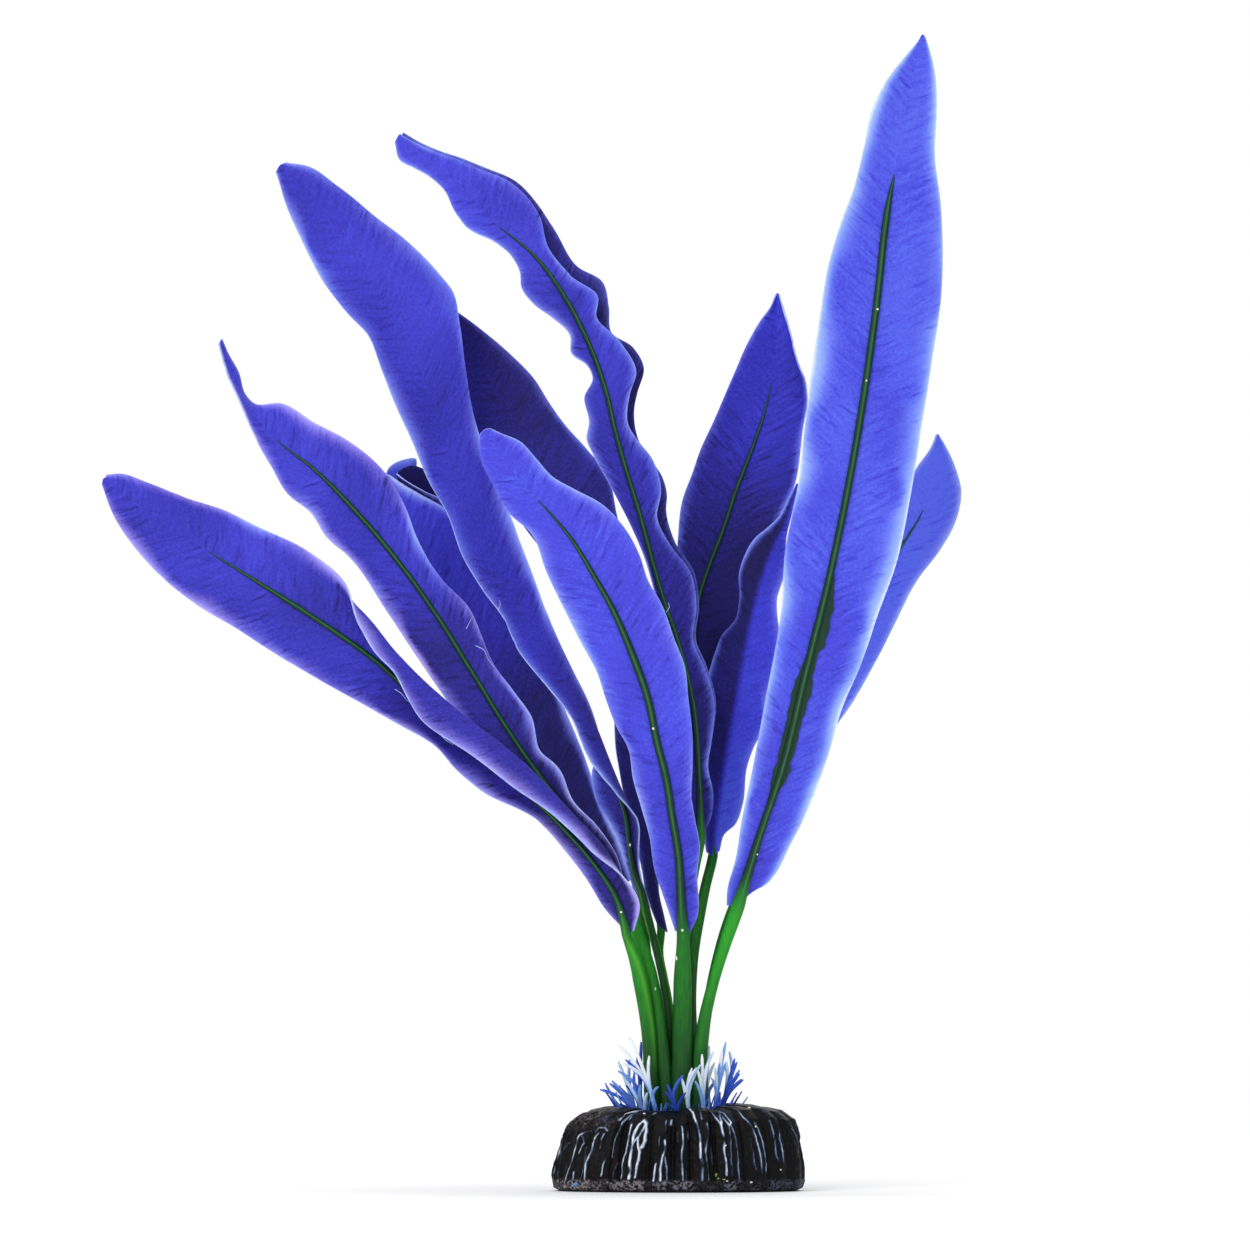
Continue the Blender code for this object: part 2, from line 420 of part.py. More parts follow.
# How far up the leading needle the side needles leave it, as shares of its length
FORK_START = 0.3
FORK_STEP = 0.14
SPRIGS = (
    ((-4.6, -7.2), ((-12.7, -9, 40.5), (-7.4, -10, 35.1), (-13.5, -10.5, 33.8), (-15.6, -8, 37.3))),
    ((-7, -6.6), ((-14, -9.6, 29.4), (-9.8, -11, 27.6))),
    ((-9.4, -4.4), ((-17.3, -6.6, 28.6), (-12.6, -7.6, 27), (-20.9, -7.6, 26.4))),
    ((-10, -1.6), ((-10.9, -5.4, 38.6), (-15.6, -2.4, 31))),
    ((-10.2, 1.4), ((-15.6, 3, 33.4), (-16.6, 0.6, 27.4))),
    ((0.8, -7.6), ((-2.9, -9.4, 27.8), (-4, -11, 25.4), (0.8, -11, 28))),
    ((3.6, -7.4), ((0.8, -10.2, 29.4), (3.6, -9.6, 32.3))),
    ((6.6, -6.8), ((6.2, -9.2, 35.6), (4.6, -11, 31), (9, -9.2, 35.4))),
    ((9, -4.6), ((12.2, -7, 38.7), (9.6, -9.6, 32), (13.4, -9, 33))),
    ((10.2, -1.6), ((14.6, -4, 34.3), (17.1, -4.6, 28.9), (12.6, -2, 33.6))),
    ((9.8, 2.6), ((16, 2, 31.2), (13.4, 6, 36), (16.6, 5, 28.8))),
    ((7, 6.8), ((8.2, 10.4, 37.4), (12, 10, 30))),
    ((0.8, 7.6), ((1.8, 11, 37), (4.4, 12.8, 30), (-1.6, 12.6, 31))),
    ((-5.6, 7), ((-7.4, 11, 37), (-11.8, 9.8, 31), (-5, 12.6, 29.6))),
)


class Path:
    """A smooth curve through points, read by the fraction of its length."""

    def __init__(self, points):
        self.points = [Vector(point) for point in points]
        self.knots = [0.0]
        for start, end in zip(self.points, self.points[1:]):
            self.knots.append(self.knots[-1] + (end - start).length)
        self.slopes = [self.slope(i) for i in range(len(self.points))]

    def slope(self, i):
        """Slope at a point: the mean of its two spans, the shorter one counting for more."""
        last = len(self.points) - 1
        if i in (0, last):
            a, b = (0, 1) if i == 0 else (last - 1, last)
            return (self.points[b] - self.points[a]) / (self.knots[b] - self.knots[a])
        before = self.knots[i] - self.knots[i - 1]
        after = self.knots[i + 1] - self.knots[i]
        slope_before = (self.points[i] - self.points[i - 1]) / before
        slope_after = (self.points[i + 1] - self.points[i]) / after
        return (slope_before * after + slope_after * before) / (before + after)

    def at(self, fraction):
        """The point at a fraction of the length."""
        reach = fraction * self.knots[-1]
        i = 0
        while i < len(self.points) - 2 and reach > self.knots[i + 1]:
            i += 1
        return hermite(self.points[i], self.points[i + 1], self.slopes[i], self.slopes[i + 1],
                       self.knots[i + 1] - self.knots[i], reach - self.knots[i])


def hermite(start, end, slope_start, slope_end, span, reach):
    """Cubic between two points with given slopes."""
    t = reach / span
    return (start * (2 * t ** 3 - 3 * t ** 2 + 1) + slope_start * span * (t ** 3 - 2 * t ** 2 + t)
            + end * (3 * t ** 2 - 2 * t ** 3) + slope_end * span * (t ** 3 - t ** 2))


class Blade:
    """The middle surface of a leaf's blade, read along (u) and across (v)."""

    def __init__(self, leaf):
        self.leaf = leaf
        self.guides = [Path(guide) for guide in leaf.guides]
        self.length = self.guides[leaf.across.index(0.5)].knots[-1]
        self.rows = max(12, round(self.length / leaf.row_pitch))

    def at(self, u, v):
        """A point of the surface."""
        points = [guide.at(u) for guide in self.guides]
        across = self.leaf.across
        slopes = []
        for i in range(len(points)):
            a, b = max(i - 1, 0), min(i + 1, len(points) - 1)
            slopes.append((points[b] - points[a]) / (across[b] - across[a]))
        i = 0
        while i < len(points) - 2 and v > across[i + 1]:
            i += 1
        return hermite(points[i], points[i + 1], slopes[i], slopes[i + 1],
                       across[i + 1] - across[i], v - across[i])

    def normal(self, u, v):
        """Unit normal on the face that looks forward where the guides run left to right."""
        step = 0.01
        low_u, high_u = max(u - step, 0.0), min(u + step, 1.0)
        low_v, high_v = max(v - step, 0.0), min(v + step, 1.0)
        along = self.at(high_u, v) - self.at(low_u, v)
        sideways = self.at(u, high_v) - self.at(u, low_v)
        return sideways.cross(along).normalized()

    def rib_line(self):
        """Centre points and radii of the midrib, clear of the blade by the gap."""
        rows = round(self.rows * self.leaf.rib_end)
        for row in range(rows + 1):
            u = row / self.rows
            share = row / rows
            radius = RIB_RADIUS * (1 - share) + RIB_TIP_RADIUS * share
            offset = BLADE_THICKNESS / 2 + GAP + radius + self.leaf.rib_lift
            yield self.at(u, 0.5) + self.normal(u, 0.5) * offset * self.leaf.rib_side, radius


def material(name, colour, roughness):
    """A plain Principled material."""
    result = bpy.data.materials.new(name)
    result.use_nodes = True
    shader = result.node_tree.nodes["Principled BSDF"]
    shader.inputs["Base Color"].default_value = (*colour, 1.0)
    shader.inputs["Roughness"].default_value = roughness
    return result


def add_object(name, data, collection, finish=None):
    """Link a new object and give it its material."""
    result = bpy.data.objects.new(name, data)
    collection.objects.link(result)
    if finish:
        data.materials.append(finish)
    return result


def column_places(leaf):
    """Where the columns of a blade's grid lie across it, 0 to 1."""
    places = []
    for low, high in zip(leaf.across, leaf.across[1:]):
        for part in range(FACES_PER_SPAN):
            places.append(low + (high - low) * part / FACES_PER_SPAN)
    return [*places, 1.0]


def make_blade(leaf, collection, finish):
    """The cloth blade: a grid laid on the blade's surface and thickened."""
    blade = Blade(leaf)
    places = column_places(leaf)
    columns = len(places) - 1
    shape = bmesh.new()
    bmesh.ops.create_grid(shape, x_segments=columns, y_segments=blade.rows, size=0.5)
    for vertex in shape.verts:
        column = round((vertex.co.x + 0.5) * columns)
        vertex.co = blade.at(vertex.co.y + 0.5, places[column]) * MM
    bmesh.ops.recalc_face_normals(shape, faces=shape.faces)
    mesh = bpy.data.meshes.new(f"blade_{leaf.name}")
    shape.to_mesh(mesh)
    shape.free()
    result = add_object(f"blade_{leaf.name}", mesh, collection, finish)
    solidify = result.modifiers.new("cloth", "SOLIDIFY")
    solidify.thickness = BLADE_THICKNESS * MM
    solidify.offset = 0.0
    mesh.shade_smooth()
    return result


def make_stem(leaf, collection, finish):
    """The green moulding: a round stem that runs on up the blade as its midrib."""
    rib = list(Blade(leaf).rib_line())
    stem = Path([*leaf.stem, rib[0][0], rib[1][0]])
    stem_share = 1 - (rib[1][0] - rib[0][0]).length / stem.knots[-1]
    count = round(stem.knots[-1] * stem_share / STEM_PITCH)
    line = []
    for i in range(count):
        share = i / count
        radius = leaf.stem_radius + (RIB_RADIUS - leaf.stem_radius) * share ** 3
        line.append((stem.at(share * stem_share), radius))
    line += rib
    curve = bpy.data.curves.new(f"stem_{leaf.name}", "CURVE")
    curve.dimensions = "3D"
    curve.bevel_depth = MM
    curve.bevel_resolution = 1
    curve.use_fill_caps = True
    spline = curve.splines.new("POLY")
    spline.points.add(len(line) - 1)
    for point, (centre, radius) in zip(spline.points, line):
        point.co = (*(centre * MM), 1.0)
        point.radius = radius
    return add_object(f"stem_{leaf.name}", curve, collection, finish)


def column_swell(angle):
    """How far the rock columns stand out at an angle round the base, 0 to 1."""
    return abs(math.sin(angle * COLUMN_COUNT / 2)) ** COLUMN_ROUNDNESS


def make_base(collection, cutters, finish):
    """The weighted base: a ball shaped ring by ring into ribbed rock, with a pocket on top."""
    shape = bmesh.new()
    rings = len(BASE_RINGS)
    bmesh.ops.create_uvsphere(shape, u_segments=COLUMN_COUNT * COLUMN_SEGMENTS,
                              v_segments=rings + 1, radius=1.0)
    for vertex in shape.verts:
        place = round((math.asin(max(-1.0, min(1.0, vertex.co.z))) / math.pi + 0.5) * (rings + 1))
        if place in (0, rings + 1):
            height = 0.0 if place == 0 else BASE_RINGS[-1][1]
            vertex.co = Vector((0.0, 0.0, height)) * MM
            continue
        share, height, swell = BASE_RINGS[place - 1]
        angle = math.atan2(vertex.co.y, vertex.co.x)
        column = math.floor(angle * COLUMN_COUNT / (2 * math.pi))
        lean = 1 + LEAN * math.sin(column * LEAN_STEP) * swell
        lean += SHOULDER_LEAN * math.cos(angle) * height / SHOULDER_Z
        out = COLUMN_DEPTH * swell * (column_swell(angle) - 1)
        lift = RISE * math.sin(column * RISE_STEP) if height > RISE_Z else 0.0
        vertex.co = Vector((math.cos(angle) * (BASE_HALF_WIDTH * share * lean + out),
                            math.sin(angle) * (BASE_HALF_DEPTH * share * lean + out),
                            height + lift)) * MM
    mesh = bpy.data.meshes.new("base")
    shape.to_mesh(mesh)
    shape.free()
    base = add_object("base", mesh, collection, finish)

    shape = bmesh.new()
    bmesh.ops.create_cone(shape, cap_ends=True, segments=POCKET_SIDES, radius1=1.0,
                          radius2=POCKET_FLARE, depth=POCKET_DEPTH)
    for vertex in shape.verts:
        vertex.co = Vector((vertex.co.x * POCKET_HALF_WIDTH, vertex.co.y * POCKET_HALF_DEPTH,
                            vertex.co.z + POCKET_FLOOR + POCKET_DEPTH / 2)) * MM
    mesh = bpy.data.meshes.new("pocket")
    shape.to_mesh(mesh)
    shape.free()
    pocket = add_object("pocket", mesh, cutters)
    pocket.hide_render = True
    pocket.display_type = "WIRE"
    cut = base.modifiers.new("pocket", "BOOLEAN")
    cut.operation = "DIFFERENCE"
    cut.solver = "EXACT"
    cut.object = pocket
    return base


def make_needle(name, start, end, radius, collection, finish=None):
    """A thin tapered needle from start to end."""
    shape = bmesh.new()
    start, end = Vector(start), Vector(end)
    bmesh.ops.create_cone(shape, cap_ends=True, segments=NEEDLE_SIDES, radius1=radius,
                          radius2=NEEDLE_TIP_RADIUS, depth=(end - start).length)
    turn = (end - start).to_track_quat("Z", "Y")
    for vertex in shape.verts:
        vertex.co = (turn @ vertex.co + (start + end) / 2) * MM
    mesh = bpy.data.meshes.new(name)
    shape.to_mesh(mesh)
    shape.free()
    return add_object(name, mesh, collection, finish)


def make_sprig(index, place, tips, collection, cutters, finish):
    """A forked sprig: a leading needle with the side needles fused to it one above the other."""
    name = f"sprig_{index:02d}"
    foot = Vector((*place, FOOT_Z))
    sprig = make_needle(name, foot, tips[0], NEEDLE_FOOT_RADIUS, collection, finish)
    for i, tip in enumerate(tips[1:], start=1):
        fork = foot.lerp(Vector(tips[0]), FORK_START + FORK_STEP * i)
        side = make_needle(f"{name}_side_{i}", fork, tip, NEEDLE_FOOT_RADIUS * SIDE_NEEDLE_SHARE,
                           cutters)
        side.hide_render = True
        side.display_type = "WIRE"
        fuse = sprig.modifiers.new(f"side_{i}", "BOOLEAN")
        fuse.operation = "UNION"
        fuse.solver = "EXACT"
        fuse.object = side
    return sprig


def new_collection(name):
    """A collection linked to the scene."""
    result = bpy.data.collections.new(name)
    bpy.context.scene.collection.children.link(result)
    return result


def main():
    """Build every piece."""
    for thing in list(bpy.data.objects):
        bpy.data.objects.remove(thing, do_unlink=True)
    parts = new_collection("echinodorus")
    cutters = new_collection("cutters")
    cloth = material("dyed_cloth", (0.06, 0.05, 0.62), 0.75)
    green = material("green_plastic", (0.01, 0.22, 0.02), 0.35)
    rock = material("painted_rock", (0.012, 0.009, 0.012), 0.3)
    grasses = (material("white_plastic", (0.75, 0.8, 0.9), 0.4),
               material("pale_blue_plastic", (0.2, 0.42, 0.8), 0.4),
               material("blue_plastic", (0.02, 0.1, 0.55), 0.4))
    make_base(parts, cutters, rock)
    for leaf in LEAVES:
        make_blade(leaf, parts, cloth)
        make_stem(leaf, parts, green)
    for index, (place, tips) in enumerate(SPRIGS, start=1):
        make_sprig(index, place, tips, parts, cutters, grasses[index % len(grasses)])


main()
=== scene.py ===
"""Looks of an artificial echinodorus for an aquarium.

Thirteen leaves of dyed polyester cloth are laid on moulded green stems, whose feet stand in plastic
grass in the pocket of a cast and brushed rock base. Every blade follows the guide curves of its
solid. Lengths are in millimetres until a mesh is made, and the front looks along -Y.
"""
import logging
import math
from dataclasses import dataclass, field
from enum import Enum
from typing import Any

import bmesh
import bpy
import numpy as np
from mathutils import Matrix, Vector, noise


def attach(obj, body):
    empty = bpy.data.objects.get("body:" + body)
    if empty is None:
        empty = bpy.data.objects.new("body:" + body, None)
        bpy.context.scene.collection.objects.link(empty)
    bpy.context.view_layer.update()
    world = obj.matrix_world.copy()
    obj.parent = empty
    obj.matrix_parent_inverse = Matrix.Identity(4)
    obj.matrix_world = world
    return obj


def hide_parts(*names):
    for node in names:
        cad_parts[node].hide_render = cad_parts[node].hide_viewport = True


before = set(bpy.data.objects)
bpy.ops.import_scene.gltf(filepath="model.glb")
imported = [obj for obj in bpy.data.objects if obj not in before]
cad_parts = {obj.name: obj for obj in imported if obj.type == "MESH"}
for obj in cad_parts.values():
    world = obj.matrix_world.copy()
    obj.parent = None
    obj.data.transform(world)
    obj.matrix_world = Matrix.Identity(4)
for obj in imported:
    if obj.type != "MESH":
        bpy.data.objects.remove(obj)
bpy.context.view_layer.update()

MM = 0.001
ROOT = "root"
FOOT_Z = 14.6
LOG = logging.getLogger("echinodorus")

Point = tuple[float, float, float]
Guide = tuple[Point, ...]
Stops = tuple[tuple[float, str], ...]


class Slot(Enum):
    """The record's material slots."""

    CLOTH = "dyed_cloth"
    STEM = "green_plastic"
    ROCK = "painted_rock"
    WHITE_GRASS = "white_plastic"
    PALE_GRASS = "pale_blue_plastic"
    BLUE_GRASS = "blue_plastic"


class Face(Enum):
    """Which face of a blade carries the midrib: the one that looks forward, or the other one."""

    FRONT = 1
    BACK = -1


# Colours and nodes


def linear(code: str) -> tuple[float, float, float, float]:
    """Turn an sRGB hex colour to linear light.

    Args:
        code: six hex digits.

    Returns:
        Red, green, blue and alpha.
    """
    parts = [int(code[i:i + 2], 16) / 255 for i in (0, 2, 4)]
    return (*(p / 12.92 if p <= 0.04045 else ((p + 0.055) / 1.055) ** 2.4 for p in parts), 1.0)


def fill(tree: bpy.types.NodeTree, node: bpy.types.Node, inputs: dict[Any, Any]) -> None:
    """Fill or link a node's inputs.

    Args:
        tree: the node tree.
        node: the node.
        inputs: by socket name or number, a value, an output socket, or a node whose first working
            output is linked.
    """
    for key, value in inputs.items():
        if isinstance(value, bpy.types.Node):
            value = next(socket for socket in value.outputs if socket.enabled)
        if isinstance(value, bpy.types.NodeSocket):
            tree.links.new(value, node.inputs[key])
        else:
            node.inputs[key].default_value = value


def add(tree: bpy.types.NodeTree, kind: str, inputs: dict[Any, Any] | None = None,
        stops: Stops = (), **settings: Any) -> bpy.types.Node:
    """Add a node, set it, and fill or link its inputs.

    Args:
        tree: the node tree that takes the node.
        kind: the node's type name.
        inputs: as for fill.
        stops: place and sRGB hex colour of each stop of a colour ramp.
        settings: the node's own properties.

    Returns:
        The new node.
    """
    node = tree.nodes.new(kind)
    for name, value in settings.items():
        setattr(node, name, value)
    fill(tree, node, inputs or {})
    for i, (place, code) in enumerate(stops):
        elements = node.color_ramp.elements
        element = elements[i] if i < len(elements) else elements.new(place)
        element.position = place
        element.color = linear(code)
    return node


def new_material(name: str) -> tuple[bpy.types.Material, bpy.types.NodeTree, bpy.types.Node]:
    """Start a material.

    Args:
        name: the material's name.

    Returns:
        The material, its node tree and its Principled shader.
    """
    material = bpy.data.materials.new(name)
    material.use_nodes = True
    return material, material.node_tree, material.node_tree.nodes["Principled BSDF"]


def new_tree(name: str, inputs: dict[str, str]) -> tuple[bpy.types.NodeTree, Any, dict[str, str]]:
    """Start a Geometry Nodes tree that puts out geometry.

    Args:
        name: the tree's name.
        inputs: kind of socket by the input's name.

    Returns:
        The tree, the outputs of its group input, and each input's identifier by its name.
    """
    tree = bpy.data.node_groups.new(name, "GeometryNodeTree")
    sockets = tree.interface
    sockets.new_socket("Geometry", in_out="OUTPUT", socket_type="NodeSocketGeometry")
    keys = {key: sockets.new_socket(key, in_out="INPUT", socket_type=f"NodeSocket{kind}").identifier
            for key, kind in inputs.items()}
    return tree, add(tree, "NodeGroupInput").outputs, keys


# Finishes


@dataclass(frozen=True)
class DipDyedPolyester:
    """Woven polyester leaf cloth, pressed in a mould with its veins and then dip dyed.

    The dye is deep in the middle and runs out towards the margins, and the pale margins also carry
    a painted glow of light through the thin cloth. Where a leaf lies in shade the depth also
    carries painted shade. The cloth is matt with a faint sheen, finely mottled by its threads, and
    creased along the pressed veins, with painted shade in the creases and painted highlight on
    their crests.

    name: the material's name
    deepen: how much deeper the dye looks on this face
    bleach: how much of it has run out
    veins: how strongly the pressed veins show
    middle: colours of the dye, from thin to deep
    margin: colours of the pale margins, where the dye has run out and a painted glow of light lies,
    from least to most
    blush: the lilac tinge of some margins
    thread: distance between threads
    mottle: size of the mottling
    patch: size of the patches with stronger and weaker veins
    vein_width, vein_length, vein_angle: size of a vein, and its rise from the midrib in degrees
    pucker_width, pucker_length, pucker_angle: the same for the short puckers
    relief: how far the veins stand out
    """

    name: str
    deepen: float = 0.0
    bleach: float = 0.0
    veins: float = 1.0
    middle: Stops = ((0.0, "5C6EEE"), (0.25, "484ADA"), (0.5, "3734B2"), (0.75, "24206E"),
                     (1.0, "151048"))
    margin: Stops = ((0.0, "545CE8"), (0.4, "6F86F4"), (0.75, "A0BDFA"), (1.0, "DCEBFD"))
    blush: str = "C9A4F4"
    # Real threads are 0.2 mm apart, too fine for a whole plant in view, so they are drawn coarser
    thread: float = 0.5
    mottle: float = 0.8
    patch: float = 14.0
    vein_width: float = 1.3
    vein_length: float = 9.0
    vein_angle: float = 35.0
    pucker_width: float = 1.15
    pucker_length: float = 5.5
    pucker_angle: float = 27.0
    relief: float = 0.16

    def make(self) -> bpy.types.Material:
        """Build the material.

        Returns:
            The material, which reads the attributes cloth (across and along the blade, in metres)
            and dye (depth with painted shade, paleness of the margins with painted glow, and
            blush).
        """
        material, tree, shader = new_material(self.name)
        cloth = add(tree, "ShaderNodeAttribute", attribute_name="cloth").outputs["Vector"]
        dye = add(tree, "ShaderNodeAttribute", attribute_name="dye").outputs["Vector"]
        depth, pale_and_glow, blush = add(tree, "ShaderNodeSeparateXYZ", {0: dye}).outputs
        across, along, _ = add(tree, "ShaderNodeSeparateXYZ", {0: cloth}).outputs

        # Veins and short puckers rise outwards from the midrib on both sides
        outward = add(tree, "ShaderNodeMath", {0: across}, operation="ABSOLUTE")
        side = add(tree, "ShaderNodeMath", {0: across}, operation="SIGN")
        halves = add(tree, "ShaderNodeCombineXYZ", {0: outward, 1: along, 2: side})
        vein, pucker = (
            add(tree, "ShaderNodeTexNoise",
                {"Scale": 1.0, "Detail": detail, "Roughness": rough,
                 "Vector": add(tree, "ShaderNodeMapping",
                               {"Vector": halves, "Rotation": (0, 0, math.radians(angle)),
                                "Scale": (length * MM, width * MM, 1.0)}, vector_type="TEXTURE")})
            for length, width, angle, detail, rough in (
                (self.vein_length, self.vein_width, self.vein_angle, 3.0, 0.55),
                (self.pucker_length, self.pucker_width, self.pucker_angle, 1.0, 0.5)))
        patch = add(tree, "ShaderNodeTexNoise",
                    {"Vector": cloth, "Scale": 1 / (self.patch * MM), "Detail": 1.0})
        strength = add(tree, "ShaderNodeMapRange",
                       {"Value": patch, "From Min": 0.35, "From Max": 0.65,
                        "To Min": 0.25 * self.veins, "To Max": self.veins})
        mottle = add(tree, "ShaderNodeTexNoise",
                     {"Vector": cloth, "Scale": 1 / (self.mottle * MM), "Detail": 2.0,
                      "Roughness": 0.7})
        vein_swing, mottle_swing = (
            add(tree, "ShaderNodeMath", {0: pattern, 1: 0.5}, operation="SUBTRACT")
            for pattern in (vein, mottle))
        pucker = add(tree, "ShaderNodeMapRange",
                     {"Value": pucker, "From Min": 0.56, "From Max": 0.78, "To Max": 0.5})
        for value, step in ((pucker, "SUBTRACT"), (strength, "MULTIPLY")):
            vein_swing = add(tree, "ShaderNodeMath", {0: vein_swing, 1: value}, operation=step)

        # Painted shade and highlight along the veins: the colour is drawn deeper in the vein
        # creases and paler on their crests, and the mottle shifts it the same way at random
        deep, thin = depth, pale_and_glow
        for swing, deeper, thinner in ((vein_swing, -0.55, 0.5), (mottle_swing, -0.42, 0.22)):
            deep = add(tree, "ShaderNodeMath", {0: swing, 1: deeper, 2: deep},
                       operation="MULTIPLY_ADD")
            thin = add(tree, "ShaderNodeMath", {0: swing, 1: thinner, 2: thin},
                       operation="MULTIPLY_ADD")
        deep = add(tree, "ShaderNodeMath", {0: deep, 1: self.deepen}, operation="ADD",
                   use_clamp=True)
        dyed = add(tree, "ShaderNodeValToRGB", {"Fac": deep}, stops=self.middle)
        # Pale margins: the dye's run-out and a painted glow of light through the thin cloth
        for value, step in ((pale_and_glow, "MULTIPLY"), (0.0, "MAXIMUM"), (0.5, "POWER"),
                            (self.bleach, "ADD")):
            thin = add(tree, "ShaderNodeMath", {0: thin, 1: value}, operation=step)
        pale = add(tree, "ShaderNodeValToRGB", {"Fac": thin}, stops=self.margin)
        blushed = add(tree, "ShaderNodeMix", {0: blush, 6: pale, 7: linear(self.blush)},
                      data_type="RGBA")
        share = add(tree, "ShaderNodeMapRange", {"Value": thin, "From Min": 0.04, "From Max": 0.6},
                    interpolation_type="SMOOTHSTEP")
        colour = add(tree, "ShaderNodeMix", {0: share, 6: dyed, 7: blushed}, data_type="RGBA")

        # Threads across and along the blade
        threads = [add(tree, "ShaderNodeTexWave",
                       {"Vector": cloth, "Scale": math.pi / (10 * self.thread * MM)},
                       bands_direction=way).outputs["Fac"] for way in "XY"]
        weave = add(tree, "ShaderNodeMath", dict(enumerate(threads)), operation="MULTIPLY")
        height = vein_swing
        for pattern, rise in ((weave, 0.12), (mottle, 0.15)):
            height = add(tree, "ShaderNodeMath", {0: pattern, 1: rise, 2: height},
                         operation="MULTIPLY_ADD")
        bump = add(tree, "ShaderNodeBump",
                   {"Height": height, "Distance": self.relief * MM, "Strength": 1.0})
        fill(tree, shader, {"Base Color": colour, "Normal": bump, "Roughness": 0.72, "IOR": 1.5,
                            "Specular IOR Level": 0.2, "Sheen Weight": 0.06,
                            "Sheen Roughness": 0.4})
        return material


@dataclass(frozen=True)
class MouldedPolyethylene:
    """Soft green polyethylene from a hinged mould.

    It is semi-gloss, darker on the ribs, and finely drawn out along its length. Its green is
    painted darker towards the foot as painted shade, a painted yellow-green highlight runs along
    the ridge of each profile, and the rib is painted lighter along its ridge.

    name: the material's name
    stem, rib: their greens, from dark to light
    ridge: the yellow green of the painted highlight along the ridge
    streak: distance between the fine streaks
    """

    name: str = "moulded_green_polyethylene"
    stem: Stops = ((0.0, "092A0B"), (0.3, "104A16"), (0.7, "187A1A"), (1.0, "229A22"))
    rib: Stops = ((0.0, "0D2F22"), (0.5, "114628"), (1.0, "29713C"))
    ridge: str = "5CB42C"
    streak: float = 0.7

    def make(self) -> bpy.types.Material:
        """Build the material.

        Returns:
            The material, which reads the attributes plastic (tone with painted shade, share of rib,
            and strength of the painted yellow highlight on the ridge) and ridge.
        """
        material, tree, shader = new_material(self.name)
        plastic = add(tree, "ShaderNodeAttribute", attribute_name="plastic").outputs["Vector"]
        tone, rib, ridge_highlight = add(tree, "ShaderNodeSeparateXYZ", {0: plastic}).outputs
        ridge = add(tree, "ShaderNodeAttribute", attribute_name="ridge").outputs["Fac"]
        place = add(tree, "ShaderNodeTexCoord").outputs["Object"]
        drawn = add(tree, "ShaderNodeMapping", {"Vector": place, "Scale": (1.0, 1.0, 0.12)})
        streak = add(tree, "ShaderNodeTexNoise",
                     {"Vector": drawn, "Scale": 1 / (self.streak * MM), "Detail": 2.0})
        swing = add(tree, "ShaderNodeMath", {0: streak, 1: 0.5}, operation="SUBTRACT")
        shade = add(tree, "ShaderNodeMath", {0: swing, 1: 0.5, 2: tone}, operation="MULTIPLY_ADD",
                    use_clamp=True)
        green = add(tree, "ShaderNodeValToRGB", {"Fac": shade}, stops=self.stem)
        # Painted highlight: yellow green along the profile's ridge
        lit = add(tree, "ShaderNodeMath", {0: ridge, 1: ridge_highlight}, operation="MULTIPLY")
        green = add(tree, "ShaderNodeMix", {0: lit, 6: green, 7: linear(self.ridge)},
                    data_type="RGBA")
        # Painted highlight: the rib is lighter along its ridge
        crest = add(tree, "ShaderNodeMath", {0: swing, 1: 0.5, 2: ridge}, operation="MULTIPLY_ADD",
                    use_clamp=True)
        dark = add(tree, "ShaderNodeValToRGB", {"Fac": crest}, stops=self.rib)
        colour = add(tree, "ShaderNodeMix", {0: rib, 6: green, 7: dark}, data_type="RGBA")
        bump = add(tree, "ShaderNodeBump",
                   {"Height": streak, "Distance": 0.05 * MM, "Strength": 1.0})
        fill(tree, shader, {"Base Color": colour, "Normal": bump, "Roughness": 0.5, "IOR": 1.51,
                            "Specular IOR Level": 0.25})
        return material


@dataclass(frozen=True)
class TintedPolyethylene:
    """Thin milky polyethylene of the grass, tinted blue by hand.

    It is satin, and each needle runs from blue to nearly white.

    name: the material's name
    tint: its colours, from deep blue to white
    cloud: size of the faint clouds in it
    """

    name: str = "tinted_grass_polyethylene"
    tint: Stops = ((0.0, "1A2E9C"), (0.3, "2F5FD8"), (0.6, "7FB0F2"), (0.85, "D6E8FA"),
                   (1.0, "F6FAFD"))
    cloud: float = 2.0

    def make(self) -> bpy.types.Material:
        """Build the material.

        Returns:
            The material, which reads the attribute plastic (its first value is the tint).
        """
        material, tree, shader = new_material(self.name)
        plastic = add(tree, "ShaderNodeAttribute", attribute_name="plastic").outputs["Vector"]
        tone, _, _ = add(tree, "ShaderNodeSeparateXYZ", {0: plastic}).outputs
        place = add(tree, "ShaderNodeTexCoord").outputs["Object"]
        cloud = add(tree, "ShaderNodeTexNoise", {"Vector": place, "Scale": 1 / (self.cloud * MM)})
        swing = add(tree, "ShaderNodeMath", {0: cloud, 1: 0.5}, operation="SUBTRACT")
        tint = add(tree, "ShaderNodeMath", {0: swing, 1: 0.3, 2: tone}, operation="MULTIPLY_ADD",
                   use_clamp=True)
        colour = add(tree, "ShaderNodeValToRGB", {"Fac": tint}, stops=self.tint)
        fill(tree, shader, {"Base Color": colour, "Roughness": 0.42, "IOR": 1.51})
        return material


